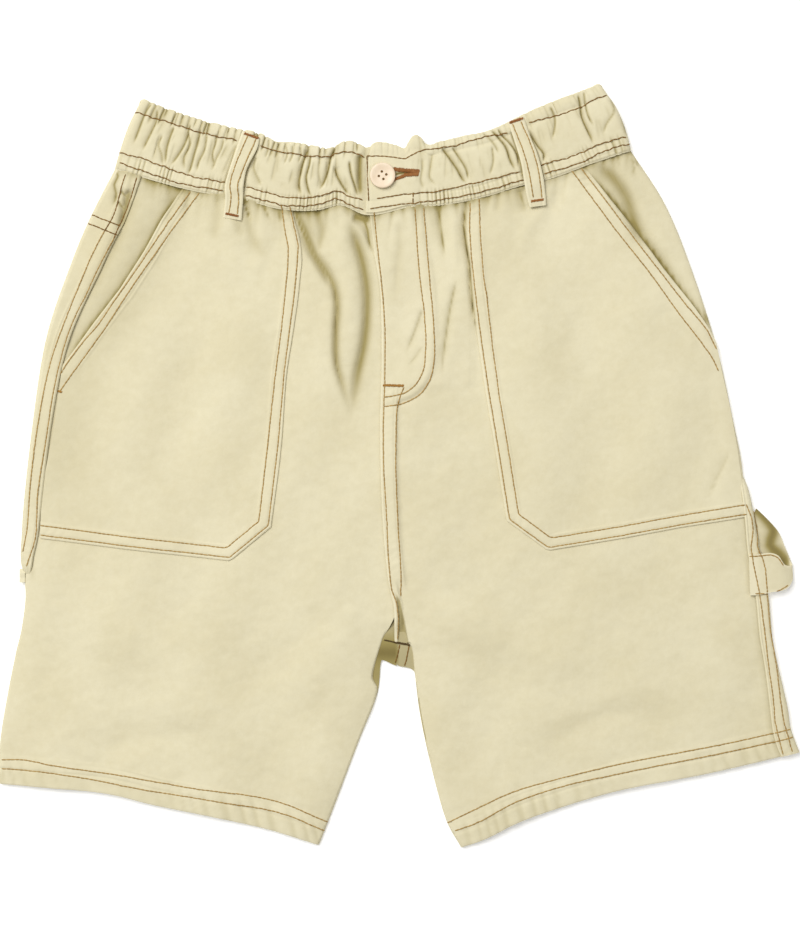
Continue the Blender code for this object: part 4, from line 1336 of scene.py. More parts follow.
    def strip_over(
        self, plan: Array, height: Array, from_inner: Array, closed: Array
    ) -> tuple[Array, Array]:
        """Raises the strip that this front laps over the other: the fly, then the crotch seam.

        Args:
            plan: The front's points in plan.
            height: Their heights.
            from_inner: How far each point is from the inner edge.
            closed: How closed the leg is at each row, 0 to 1.

        Returns:
            The raised heights, and how rubbed the strip is.
        """
        steps = np.linalg.norm(np.diff(plan[:, -1], axis=0, prepend=plan[:1, -1]), axis=1)
        along = np.cumsum(steps)[:, None] + 0 * from_inner
        y = plan[..., 1]
        ended = ease((self.strip_end[0] - y) / self.strip_end[1])
        narrowed = ease((self.strip_narrow[0] - y) / self.strip_narrow[1])
        single = ease((y - self.strip_single[0]) / self.strip_single[1])
        shown = np.clip(1 - closed * 1.4, 0, 1) * (1 - ended)
        shown = shown * (1 - narrowed * ease((from_inner - self.strip_foot[0]) / self.strip_foot[1]))
        past = (from_inner - self.fly.lap(y)) / self.lap_fade
        height = height + self.lap_rise * (1 - ease(past)) * shown
        height += self.edge_band.relief(from_inner, along) * shown * (1 - single)
        height += self.edge_line.relief(from_inner, along) * single
        height += self.fly_lines(plan)
        rubbed = self.edge_band.wear(from_inner) * (1 - single) + self.edge_line.wear(from_inner) * single
        return height, rubbed * shown

    @staticmethod
    def rippled(x: Array) -> Array:
        """The uneven ripples that the hem's stitches draw up at places along it, -1 to 1."""
        turn = 2 * math.pi * x / (9.0 * MM) + 2.2 * np.sin(x / (17.0 * MM)) + 1.4 * np.sin(x / (6.3 * MM))
        return np.sin(turn) * (0.55 + 0.45 * np.sin(x / (29.0 * MM) + 0.7))

    def sunk_wedge(self, plan: Array) -> Array:
        """Where the front sinks between the crotch strip and the leg.

        Args:
            plan: Points in plan.

        Returns:
            How sunk they are, 0 to 1.
        """
        distance, side, _ = Path(self.fork_gap, False).near(plan)
        from_strip, strip_side, _ = Path(self.fork_strip, False).near(plan)
        between = (side < 0) & (strip_side > 0) & (plan[..., 1] < -83.0 * MM)
        tip = ease((-84.0 * MM - plan[..., 1]) / (7.0 * MM))
        return ease(distance / (1.0 * MM)) * ease(from_strip / (1.0 * MM)) * between * tip

    @staticmethod
    def fly_lines(plan: Array) -> Array:
        """Height along the fly's curved double line of stitches: two valleys and a slight rise between.

        Args:
            plan: Points in plan.

        Returns:
            Their heights.
        """
        height = np.zeros(plan.shape[:-1])
        near = (plan[..., 1] > 30.0 * MM) & (plan[..., 0] < 34.0 * MM)
        curves = [Path(line.path) for line in LINES if line.name.startswith("fly curve")]
        inner, outer = (curve.near(plan[near])[0] for curve in curves)
        between = bell(inner - outer, 3.0 * MM) * bell(np.minimum(inner, outer), 4.0 * MM)
        height[near] = 0.12 * MM * between - 0.30 * MM * (bell(inner, 0.9 * MM) + bell(outer, 0.9 * MM))
        return height

    @staticmethod
    def from_hem(plan: Array) -> Array:
        """Distance of each point up from the hem's edge.

        Args:
            plan: The front's points, the last row at the hem.

        Returns:
            The distances, or a metre well above the hem.
        """
        hem = Path(plan[-1] / MM, rounded=False)
        low = plan[..., 1] < -150.0 * MM
        distance = np.full(plan.shape[:2], 1.0)
        distance[low] = hem.near(plan[low])[0]
        return distance

    def roll_under(self, plan: Array, height: Array, rows: LegRows, rolled: int) -> None:
        """Carries the outer columns round the side and under, where this front makes the side's edge.

        Args:
            plan: The front's points in plan, which are changed.
            height: Their heights, which are changed.
            rows: The leg's rows.
            rolled: How many columns are carried.
        """
        angles = np.radians(np.linspace(-90.0, 90.0, rolled - 2, endpoint=False))
        runs = np.concatenate([self.tucked_ends, self.roll * (1 - np.cos(angles))])
        lift = np.concatenate([[0.0, 0.0], (1 + np.sin(angles)) / 2])
        wrapped = rows.plan(np.repeat(runs[None, :], len(rows.places), axis=0))
        low = self.under_height + (height[:, rolled, None] - self.under_height) * lift[None, :]
        share = rows.rolls[:, None]
        plan[:, :rolled] = plan[:, :rolled] * (1 - share[..., None]) + wrapped * share[..., None]
        height[:, :rolled] = height[:, :rolled] * (1 - share) + low * share


@dataclass
class Back(Piece):
    """A back with the strip that laps round the side onto the front, in one or two pieces with its yoke."""

    side: Side = Side.RIGHT
    form: Form = field(default_factory=Form)
    thickness: float = 0.8 * MM
    band: SeamBand = SeamBand()
    roll: float = 3.0 * MM
    lap_rise: float = 1.6 * MM
    edge_dip: float = 0.45 * MM
    fine_reach: float = 20.6 * MM
    first: float = 0.0
    last: float | None = None
    row_step: float = 1.9 * MM
    hem_step: float = 0.9 * MM
    yoke_rows: int = 60
    fork_lift: float = 2.3 * MM
    fork_at: tuple[float, float] = (-1.5 * MM, -122.0 * MM)
    fork_droop: float = 0.0
    yoke_fold: Points = ((-209.0, 170.8), (-186.0, 162.4))

    def build(self) -> Obj:
        """Models the back or yoke.

        Returns:
            The finished object.
        """
        if self.last is None:
            places = LegRows.spaced(self.side, self.row_step, self.hem_step, self.first)
        else:
            places = np.linspace(self.first, self.last, self.yoke_rows)
        rows = LegRows(self.side, places)
        strip_edge = np.maximum(rows.seam_in, 3.6 * MM)[:, None]
        fine = np.arange(0.0, self.fine_reach, FINE_STEP)
        from_edge = np.minimum(fine[None, :], (strip_edge - self.roll) * (fine / fine[-1])[None, :])
        strip = strip_edge - from_edge
        angles = np.radians(np.array([75, 50, 25, 0, -25, -50, -75, -90.0]))
        length = rows.length(True)
        parts = np.concatenate([np.linspace(0.0, 0.92, 22, endpoint=False)[1:], np.linspace(0.92, 1.0, 14)])
        under = self.roll + (length - self.roll) * parts[None, :]
        lap_plan = rows.plan(strip)
        top = self.form.height(lap_plan, self.side) + self.lap_rise
        along = self.form.sides[self.side].near(lap_plan)[2]
        top = top + self.band.relief(from_edge, along) - self.edge_dip * (1 - ease(from_edge / (1.6 * MM)))
        if self.last is None:
            seam = self.yoke_distance(lap_plan)
            top += 0.5 * self.band.relief(seam, lap_plan[..., 0]) * (seam < 12 * MM)
        edge_top = top[:, -1:]
        roll_plan = rows.plan(self.roll * (1 - np.cos(angles))[None, :] + 0 * length)
        roll_height = edge_top * (1 + np.sin(angles))[None, :] / 2
        under_plan = self.droop(rows.plan(under, True))
        lift = self.fork_lift * bell(np.linalg.norm(under_plan - np.array(self.fork_at), axis=-1), 15.0 * MM)
        plan = np.concatenate([lap_plan, roll_plan, under_plan], axis=1)
        height = np.concatenate([top, roll_height, lift], axis=1)
        outer = lap_plan.shape[1] + len(angles)
        hidden = rows.plan((self.roll + np.linspace(0.0, 1.6 * MM, outer))[None, :] + 0 * length, True)
        share = rows.rolls[:, None]
        plan[:, :outer] = plan[:, :outer] * (1 - share[..., None]) + hidden * share[..., None]
        height[:, :outer] = height[:, :outer] * (1 - share)
        lap = slice(0, lap_plan.shape[1])
        # Shade is painted on the back: a thin line along the lap's rim, the form's crease shade on the lap
        # and deep shade round the fork.
        rim = 0.7 * (1 - ease(from_edge / (0.5 * MM)))
        lap_shade = np.maximum(0.9 * self.form.crease(lap_plan), rim) * (1 - share)
        shades, rubbed = self.fork_shade(plan), np.zeros(height.shape)
        shades[:, lap] = np.maximum(shades[:, lap], lap_shade)
        rubbed[:, lap] = self.band.wear(from_edge) * (1 - share)
        return thicken(lay_grid(self.name, plan, height, False, shades, rubbed), self.thickness)

    def fork_shade(self, plan: Array) -> Array:
        """How shaded the inside of the back is round the fork, where the fronts part.

        Args:
            plan: Points in plan.

        Returns:
            Their shade, 0 to 1.5.
        """
        inside = np.linalg.norm(plan - np.array(self.fork_at), axis=-1)
        deep = 0.3 * ease((-106.0 * MM - plan[..., 1]) / (12.0 * MM))
        deep = deep + 0.5 * bell(plan[..., 1] + 125.0 * MM, 5.0 * MM)
        right_of_fork = ease((self.fork_at[0] + 1.0 * MM - plan[..., 0]) / (2.5 * MM))
        return (1 - ease((inside - 24.0 * MM) / (22.0 * MM))) * (0.66 + deep * right_of_fork)

    def droop(self, plan: Array) -> Array:
        """Lets the cloth beside the fork slant down towards it.

        Args:
            plan: Points in plan, which are moved.

        Returns:
            The same points.
        """
        beside = np.clip((plan[..., 0] + 12.0 * MM) / (9.6 * MM), 0.0, 1.0)
        plan[..., 1] -= self.fork_droop * beside * ease((-104.0 * MM - plan[..., 1]) / (23.0 * MM))
        return plan

    def yoke_distance(self, plan: Array) -> Array:
        """Distance of points in plan below the yoke seam's fold."""
        distance, side, _ = Path(self.yoke_fold, rounded=False).near(plan)
        return np.where(side < 0, distance, 0.0)


@dataclass
class Underlap(Piece):
    """The strip sewn to the right front's edge, hidden under the fly."""

    form: Form = field(default_factory=Form)
    thickness: float = 0.8 * MM
    fly: Fly = Fly()
    start: float = 9.7 * MM
    narrowest: float = 11.0 * MM
    inset: float = 0.6 * MM

    def build(self) -> Obj:
        """Models the strip.

        Returns:
            The finished object.
        """
        rows = LegRows(Side.LEFT, np.linspace(0.0, 3.55, 48))
        end = np.maximum(self.fly.lap(rows.front[:, 1:]) - self.inset, self.narrowest)
        run = rows.length() - (self.start + (end - self.start) * np.linspace(0, 1, 12)[None, :])
        plan = rows.plan(run)
        return thicken(lay_grid(self.name, plan, self.form.height(plan, Side.LEFT), True), self.thickness)


@dataclass
class Pocket(Piece):
    """A patch pocket: the form's own points moved out, with sewn edges and an open mouth."""

    side: Side = Side.RIGHT
    form: Form = field(default_factory=Form)
    thickness: float = 0.8 * MM
    gap: float = 0.95 * MM
    band: SeamBand = SeamBand()
    mouth_lift: float = 0.9 * MM
    waist: Points = ()
    mouth: Points = ()
    flank: Points = ()
    bottom: Points = ()
    inner: Points = ()

    @staticmethod
    def parts(length: float, fine: float = 12.5 * MM) -> Array:
        """Spaces points along a length, close together at both ends.

        Args:
            length: The length.
            fine: How far from each end they are close.

        Returns:
            Their places as parts of the length.
        """
        near = np.arange(0.0, fine, FINE_STEP)
        count = max(8, int((length - 2 * fine) / (2.3 * MM)))
        middle = np.linspace(fine, length - fine, count, endpoint=False)
        return np.concatenate([near, middle, length - near[::-1]]) / length

    def build(self) -> Obj:
        """Models the pocket.

        Returns:
            The finished object.
        """
        top, base = Path(self.waist), Path(self.bottom, False)
        outer, inner = Path(self.mouth + self.flank, False), Path(self.inner)
        u, v = self.parts((top.length + base.length) / 2), self.parts((outer.length + inner.length) / 2)
        high, low = top.at(u * top.length), base.at(u * base.length)
        left, right = outer.at(v * outer.length)[:, None], inner.at(v * inner.length)[:, None]
        u, v = u[None, :, None], v[:, None, None]
        plan = (1 - v) * high[None] + v * low[None] + (1 - u) * left + u * right
        plan -= (1 - u) * (1 - v) * high[0] + u * (1 - v) * high[-1] + (1 - u) * v * low[0] + u * v * low[-1]
        height = self.form.height(plan, self.side) + self.gap
        sewn = Path(self.inner + self.bottom[::-1][1:], False)
        mouth = Path(self.mouth, False)
        sewn_distance, _, sewn_along = sewn.near(plan)
        mouth_distance, _, mouth_along = mouth.near(plan)
        at_mouth = mouth_distance < sewn_distance
        distance = np.minimum(sewn_distance, mouth_distance)
        along = np.where(at_mouth, mouth_along, sewn_along)
        height += self.band.relief(distance, along)
        reach = ease(mouth_along / (25 * MM)) * ease((mouth.length - mouth_along) / (30 * MM))
        height += self.mouth_lift * bell(mouth_distance, 16.0 * MM) * reach
        obj = lay_grid(self.name, plan, height, True, self.form.crease(plan) * 0.9, self.band.wear(distance))
        return thicken(obj, self.thickness)


class Gather(NamedTuple):
    """A small pleat across the waistband: its place, its stretch from seam (0) to top (1), lean and size."""

    at: float
    low: float
    high: float
    lean: float
    width: float
    depth: float


@dataclass
class Waistband(Piece):
    """One half of the gathered waistband's front, rolled round the side and over its top edge."""

    side: Side = Side.RIGHT
    thickness: float = 0.9 * MM
    pitch: float = 0.54 * MM
    side_radius: float = 3.9 * MM
    tucked_ends: tuple[float, float] = (9.0 * MM, 6.0 * MM)
    tab_end: float = -23.0 * MM
    tab_root: float = 8.6 * MM
    tab_height: float = 8.2 * MM
    tab_edge: float = 0.9 * MM
    tab_foot: float = 1.3 * MM
    tab_line: float = 2.0 * MM
    tab_line_depth: float = 0.25 * MM
    tab_line_width: float = 0.8 * MM
    under_end: float = -4.0 * MM
    under_height: float = 5.7 * MM
    under_fade: float = 5.5 * MM
    seam_lines: tuple[float, float] = (0.054, 0.193)
    top_line: float = 0.826
    line_depth: float = 0.45 * MM
    line_width: float = 0.018
    pucker_depth: float = 0.85 * MM
    pucker_pitch: float = 5.3 * MM
    tab_fade: float = 7.0 * MM
    slit: Points = ((-5.0, 194.6), (1.0, 195.4), (7.0, 195.6))
    slit_width: float = 0.9 * MM
    slit_depth: float = 1.0 * MM
    corner_radius: float = 3.2 * MM
    notch_share: float = 0.85
    over_rows: int = 7
    over_turn: float = 170.0
    over_reach: float = 1.3 * MM
    over_drop: float = 1.5 * MM
    bulge: tuple[float, float] = (2.9 * MM, 1.2 * MM)
    bulge_reach: float = 26.0 * MM
    skin_parts: tuple[float, ...] = (-0.01, 0.0, 0.012, 0.035, 0.12, 0.22, 0.5, 0.78, 0.85, 0.94, 1.0)
    skin_heights: tuple[float, ...] = (5.7, 5.8, 6.5, 7.0, 7.15, 7.3, 8.0, 7.7, 7.5, 7.5, 6.6)
    first_rows: tuple[float, ...] = (-0.012, 0.0, 0.012)
    row_spans: tuple[tuple[float, float, int], ...] = ((0.025, 0.26, 17), (0.26, 0.79, 22), (0.79, 1.0, 14))
    pleat_span: tuple[float, float] = (-188.0, 152.0)
    pleat_gaps: tuple[float, float] = (2.4, 6.5)
    ruffle_span: tuple[float, float] = (-190.0, 154.0)
    ruffle_gaps: tuple[float, float] = (2.6, 6.4)
    seed: int = 5

    def __post_init__(self) -> None:
        """Draws the small gathers between the listed creases, and the ruffles of the top edge."""
        self._creases = FoldField(BAND_FOLDS, 0.10, 0.22)
        draw = np.random.default_rng(self.seed)
        self._small: list[Gather] = []
        place, last = self.pleat_span
        while place < last:
            place += draw.uniform(*self.pleat_gaps)
            low = draw.uniform(0.2, 0.6)
            high = draw.uniform(low + 0.12, 0.92)
            lean = draw.uniform(-6.0, 9.0)
            size = draw.uniform(0.3, 0.9) * (1.0 if place < 16.0 else 0.6)
            self._small.append(Gather(place, low, high, lean, draw.uniform(0.5, 1.1), size))
        place, last = self.ruffle_span
        while place < last:
            place += draw.uniform(*self.ruffle_gaps)
            size = draw.uniform(0.5, 2.0) * (1.0 if place < -22.0 else 0.3)
            low = draw.uniform(0.68, 0.84)
            lean, width = draw.uniform(-3.0, 3.0), draw.uniform(0.35, 0.75)
            self._small.append(Gather(place, low, 1.1, lean, width, size))

    @classmethod
    def plan(cls, at: Array, across: Array) -> Array:
        """Points in plan of the band.

        Args:
            at: Places along the waist seam.
            across: Parts of the way up to the top edge.

        Returns:
            The points.
        """
        keys, values = band_keys()
        station = hermite(keys, values, at)
        edge = np.array(TOP_EDGE) * MM
        ragged = hermite(edge[:, 0], edge[:, 1], station[..., 2]) - station[..., 3]
        seam, top = station[..., 0:2], station[..., 2:4]
        points = seam + (top - seam) * across[..., None]
        points[..., 1] += ragged * ease((across - 0.55) / 0.45)
        full = 4 * across * (1 - across)
        points[..., 0] += (cls.bulge[0] * ease(1 - (keys[-1] - at) / cls.bulge_reach)) * full
        points[..., 0] -= (cls.bulge[1] * ease(1 - (at - keys[0]) / cls.bulge_reach)) * full
        return points

    @property
    def side_x(self) -> float:
        """Where along X the half band reaches the side."""
        return (BAND[-1] if self.side is Side.LEFT else BAND[0]).seam_x * MM

    def gathers(self, at: Array, across: Array) -> Array:
        """Height of the creases and small pleats across the band."""
        return self._creases.read(self.plan(at, across))[0] + self.pleats(at, across)

    def pleats(self, at: Array, across: Array) -> Array:
        """Height of the small pleats and of the ruffles along the top.

        Args:
            at: Places along the waist seam.
            across: Parts of the way up to the top edge.

        Returns:
            The heights, all 0 or below.
        """
        height = np.zeros(np.broadcast(at, across).shape)
        for pleat in self._small:
            offset = (at - pleat.at * MM - pleat.lean * MM * (across - 0.2)) / (pleat.width * MM)
            from_end = (pleat.high - across) / 0.13 + 0.5 * (pleat.high >= 1)
            span = ease((across - pleat.low) / 0.13) * ease(from_end)
            height -= pleat.depth * MM * np.exp(-np.abs(offset) * np.where(offset > 0, 0.5, 1.4)) * span
        return height

    def shade(self, at: Array, across: Array) -> Array:
        """The shade painted in the bottoms of the creases, pleats and puckers.

        Args:
            at: Places along the waist seam.
            across: Parts of the way up to the top edge.

        Returns:
            The painted shade, 0 to 1.4.
        """
        small = -(self.pleats(at, across) / (1.7 * MM) + self.puckers(at, across) / (1.3 * MM))
        creased = 1.1 * self._creases.read(self.plan(at, across))[1]
        return np.clip(np.maximum(creased, np.clip(small, 0, 0.95)), 0.0, 1.4)

    def puckers(self, at: Array, across: Array) -> Array:
        """Height of the tight puckers along the two lines of the waist seam.

        Args:
            at: Places along the waist seam.
            across: Parts of the way up to the top edge.

        Returns:
            The heights, all 0 or below.
        """
        turn = math.pi * at / self.pucker_pitch + 1.4 * np.sin(at / (13.0 * MM))
        height = -0.5 * np.abs(np.cos(turn)) ** 12 * (0.6 + 0.4 * np.sin(at / (11.0 * MM)))
        for stretch in PUCKERS:
            inside = ease((at / MM - stretch.start + 2) / 4) * ease((stretch.end + 2 - at / MM) / 4)
            turn = math.pi * at / (stretch.pitch * MM) + 0.8 * np.sin(at / (9.0 * MM)) + 2.0 * across
            height = height - inside * np.abs(np.cos(turn)) ** 10 * (0.75 + 0.45 * np.sin(at / (3.7 * MM)))
        window = ease((across + 0.02) / 0.05) * (1 - ease((across - 0.18) / 0.12))
        return self.pucker_depth * height * window

    def height(self, at: Array, across: Array) -> Array:
        """The outer skin of the band between its side roll and its free end.

        Args:
            at: Places along the waist seam.
            across: Parts of the way up to the top edge.

        Returns:
            The heights.
        """
        base = hermite(np.array(self.skin_parts), np.array(self.skin_heights) * MM, across)
        lines = sum(bell(across - line, self.line_width) for line in self.seam_lines)
        lines = lines + 1.25 * bell(across - self.top_line, self.line_width * 1.3)
        loose = base + self.gathers(at, across) + self.puckers(at, across) - self.line_depth * lines
        settle = ease((np.abs(at - self.side_x) - 3.0 * MM) / (9.0 * MM))
        loose = base + (loose - base) * (0.35 + 0.65 * settle)
        if self.side is Side.LEFT:
            tab = self.tab_skin(at, across, base, lines)
            return tab + (loose - tab) * ease((at - self.tab_root) / self.tab_fade)
        free = ease((self.tab_end - 0.6 * MM - at) / self.under_fade)
        return self.under_height + (loose - self.under_height) * free

    def tab_skin(self, at: Array, across: Array, base: Array, lines: Array) -> Array:
        """The outer skin of the flat tab that carries the buttonhole.

        Args:
            at: Places along the waist seam.
            across: Parts of the way up to the top edge.
            base: The band's height before it is gathered.
            lines: How near each point is to a line of stitches along the band.

        Returns:
            The heights.
        """
        edge = self.tab_edge * (1 - ease((at - self.tab_end) / self.tab_edge))
        low = self.tab_foot * (1 - ease(across / 0.03))
        upper = ease((across - self.top_line) / 0.04)
        ruffle = 0.8 * self.gathers(at, across) * upper
        tab = self.tab_height - edge - low - 0.7 * self.line_depth * lines + ruffle
        tab = tab - self.tab_line_depth * bell(at - self.tab_end - self.tab_line, self.tab_line_width)
        return tab - (self.tab_height - base) * upper * 0.8

    def build(self) -> Obj:
        """Models the half band.

        Returns:
            The finished object.
        """
        columns, lift = self.columns()
        lower, middle, upper = (np.linspace(*span) for span in self.row_spans)
        at, up = np.meshgrid(columns, np.concatenate([self.first_rows, lower, middle[1:], upper[1:]]))
        plan = self.plan(at, up)
        plan[..., 1] += self.notches(at, up, lift)
        plan[..., 1] -= 0.5 * (self.puckers(at, 0 * up + 0.05) * (1 - ease(up / 0.05)))
        height, painted_shade = self.height(at, up), self.shade(at, up)
        wear = 0.3 * (1 - ease(up / 0.035)) + 0.2 * bell(up - 0.12, 0.05)
        if self.side is Side.LEFT:
            # The buttonhole's slit is sunk and painted with deep shade.
            open_slit = bell(Path(self.slit, False).near(plan)[0], self.slit_width)
            height = height - self.slit_depth * open_slit
            painted_shade = np.maximum(painted_shade * ease((at - self.tab_root) / self.tab_fade), 1.5 * open_slit)
        over_plan, over_height = self.turned_over(plan, height)
        plan = np.concatenate([plan, over_plan])
        height = np.concatenate([height, over_height]) * lift
        painted_shade = np.concatenate([painted_shade, np.repeat(painted_shade[-1:], len(over_plan), axis=0)])
        wear = np.concatenate([wear, np.repeat(wear[-1:], len(over_plan), axis=0)])
        obj = lay_grid(self.name, plan[::-1], height[::-1], True, painted_shade[::-1], wear[::-1])
        return thicken(obj, self.thickness)

    def columns(self) -> tuple[Array, Array]:
        """Spaces the columns out from under the side, round its roll and across the front.

        Returns:
            Their places along the waist seam, and how far each is lifted off the surface, 0 to 1.
        """
        left = self.side is Side.LEFT
        stretch = abs((self.tab_end if left else self.under_end) - self.side_x) - self.side_radius
        count = round(stretch / self.pitch)
        angles = np.radians(np.linspace(-90, 90, 11)[:-1])
        rolled = self.side_radius * (1 - np.cos(angles))
        across = self.side_radius + stretch * np.linspace(0, 1, count + 1)
        runs = np.concatenate([self.tucked_ends, rolled, across])
        lift = np.concatenate([[0.0, 0.0], (1 + np.sin(angles)) / 2, np.ones(count + 1)])
        return self.side_x + (-runs if left else runs), lift

    def notches(self, at: Array, across: Array, lift: Array) -> Array:
        """How far the top edge moves in plan at its pleats and at its round corner.

        Args:
            at: Places along the waist seam.
            across: Parts of the way up to the top edge.
            lift: How far each column is lifted off the surface, 0 to 1.

        Returns:
            The moves along Y.
        """
        notch = self.pleats(at, 0 * across + 0.97) * ease((across - 0.84) / 0.16)
        corner = np.clip(1 - np.abs(at - self.side_x) / self.corner_radius, 0.0, 1.0)
        round_off = self.corner_radius * (1 - np.sqrt(1 - corner**2)) * ease((across - 0.6) / 0.4)
        return np.where(lift < 1, 0.55, 1.0) * self.notch_share * notch - round_off

    def turned_over(self, plan: Array, height: Array) -> tuple[Array, Array]:
        """Carries the band over its top edge.

        Args:
            plan: Its points in plan, the last row at the top edge.
            height: Their heights.

        Returns:
            The new rows' points in plan, and their heights.
        """
        turn = np.radians(np.linspace(0.0, self.over_turn, self.over_rows + 1)[1:])
        outward = plan[-1] - plan[-2]
        outward = outward / np.maximum(np.linalg.norm(outward, axis=-1, keepdims=True), 1e-9)
        over_plan = plan[-1][None] + outward[None] * (self.over_reach * np.sin(turn))[:, None, None]
        return over_plan, height[-1:] - self.over_drop * (1 - np.cos(turn))[:, None]


@dataclass
class BandBack(Piece):
    """The back of the waistband, gathered on its elastic and hidden under the front."""

    thickness: float = 0.9 * MM
    depth: float = 0.93
    wrap: float = 9.6 * MM
    middle: tuple[float, float] = (-8.0 * MM, 163.0 * MM)
    pucker_pitch: float = 5.3 * MM
    pucker_height: float = 0.45 * MM

    def build(self) -> Obj:
        """Models the back band.

        Returns:
            The finished object.
        """
        keys, _ = band_keys()
        at = np.linspace(keys[0] + self.wrap, keys[-1] - self.wrap, 260)[None, :]
        across = np.linspace(0.0, 1.0, 16)[:, None]
        station = Waistband.plan(at + 0 * across, 0 * at + across)
        seam = Waistband.plan(at + 0 * across, 0 * at + 0 * across)
        ends = Waistband.plan(np.array([keys[0], keys[-1]]), np.zeros(2))
        side = np.where(at < self.middle[0], ends[0, 1], ends[1, 1])
        side_x = np.where(at < self.middle[0], ends[0, 0], ends[1, 0])
        straight = side + (self.middle[1] - side) * (at - side_x) / (self.middle[0] - side_x)
        plan = (station - seam) * self.depth
        plan[..., 0] += at
        plan[..., 1] += straight
        wave = np.sin(2 * math.pi * at / self.pucker_pitch + 1.7 * np.sin(at / (19.0 * MM)))
        height = self.pucker_height * (1 + wave) * np.sin(math.pi * across) * np.ones_like(at)
        return thicken(lay_grid(self.name, plan, height, False), self.thickness)


class StrapEdge(NamedTuple):
    """A place along a strap: its two edges and its height."""

    low_x: float
    low_y: float
    high_x: float
    high_y: float
    height: float


@dataclass
class Strap(Piece):
    """A narrow folded strap: a belt loop or the hammer loop."""

    edges: tuple[StrapEdge, ...] = ()
    thickness: float = 1.1 * MM
    rows: int = 120
    columns: int = 22
    stitch_inset: float = 2.3 * MM
    puff: float = 0.35 * MM
    ripple: float = 0.25 * MM

    def shade(self, plan: Array, place: Array) -> Array:
        """How shaded the strap is at points in plan, at places along its table."""
        return np.zeros(plan.shape[:-1])

    def rub(self, from_edge: Array, place: Array) -> Array:
        """How rubbed the strap is at distances from its nearer edge, at places along its table."""
        return np.clip(0.8 - from_edge / (3.0 * MM), 0, 1)

    def build(self) -> Obj:
        """Models the strap.

        Returns:
            The finished object.
        """
        table = np.array(self.edges, float) * MM
        keys = np.arange(len(table), dtype=float)
        place = np.linspace(0, keys[-1], self.rows)
        station = hermite(keys, table, place)
        part = np.linspace(0.0, 1.0, self.columns)[None, :, None]
        plan = station[:, None, 0:2] * (1 - part) + station[:, None, 2:4] * part
        width = np.linalg.norm(station[:, 2:4] - station[:, 0:2], axis=1)[:, None]
        from_edge = np.minimum(part[..., 0], 1 - part[..., 0]) * width
        along = np.linspace(0.0, 1.0, self.rows)[:, None]
        height = self.skin(station[:, None, 4] + 0 * from_edge, from_edge, part[..., 0], along)
        painted_shade, wear = self.shade(plan, place[:, None]), self.rub(from_edge, place[:, None])
        return thicken(lay_grid(self.name, plan, height, True, painted_shade, wear), self.thickness)

    def skin(self, base: Array, from_edge: Array, part: Array, along: Array) -> Array:
        """Height of the strap's outer skin.

        Args:
            base: The height of its edges.
            from_edge: Distances in from the nearer edge.
            part: Parts of the way across.
            along: Parts of the way down.

        Returns:
            The heights.
        """
        height = base + self.puff * (1 - bell(from_edge - self.stitch_inset, 0.9 * MM))
        height -= 0.7 * MM * (1 - ease(from_edge / (1.1 * MM)))
        return height + self.ripple * np.sin(along * 19.0 + 2.0 * part) * np.sin(math.pi * along)


@dataclass
class HammerLoop(Strap):
    """The strap that loops out from the side seam, round its end and back under the leg."""

    rubbed_to: float = 0.4
    # Shade is painted along the hollow, past the place in the table where the strap turns under.
    dark_from: float = 5.6
    hollow: Points = ((236.5, -27), (244, -34), (250, -43), (248, -53), (254.5, -59.5), (261, -67))
    hollow_width: float = 4.0 * MM

    def shade(self, plan: Array, place: Array) -> Array:
        """How shaded the strap is along its hollow, past the place where it turns under."""
        deep = 0.12 + 1.2 * bell(Path(self.hollow).near(plan)[0], self.hollow_width)
        return deep * ease(place - self.dark_from)

    def rub(self, from_edge: Array, place: Array) -> Array:
        """How rubbed the strap is along its edges and at its sewn end."""
        return np.maximum(super().rub(from_edge, place), 0.7 * (1 - ease(place - self.rubbed_to)))

    def skin(self, base: Array, from_edge: Array, part: Array, along: Array) -> Array:
        """Height of the strap's skin, never below the surface that it lies on."""
        return np.maximum(base, self.thickness)


@dataclass
class SideTab(Piece):
    """The end of a folded strap that shows at the right side seam."""

    centre: Triple = (-254.1 * MM, -73.5 * MM, 2.6 * MM)
    size: Triple = (1.4 * MM, 9.0 * MM, 1.4 * MM)
    thickness: float = 0.5 * MM
    leg: float = 2.4 * MM
    rubbed: float = 0.4

    def build(self) -> Obj:
        """Models the strap end.

        Returns:
            The finished object.
        """
        rows, columns = 28, 15
        along = np.linspace(-0.5, 0.5, rows)[:, None]
        around = np.radians(np.linspace(-90.0, 90.0, columns - 4))[None, :]
        ends = np.array([self.leg, self.leg / 2])
        reach = np.concatenate([ends, 0 * around[0], ends[::-1]])[None, :]
        swing = np.concatenate([[-math.pi / 2] * 2, around[0], [math.pi / 2] * 2])[None, :]
        x = self.centre[0] + self.size[0] * (0.5 - np.cos(swing)) + reach + 0 * along
        y = self.centre[1] + self.size[1] * along + 0 * swing
        z = self.centre[2] + self.size[2] * 0.9 * np.sin(swing) + 0.2 * MM * np.sin(along * 9)
        obj = lay_grid(self.name, np.stack([x, y], -1), z, True, None, np.full((rows, columns), self.rubbed))
        return thicken(obj, self.thickness)


# ---------- Button ----------


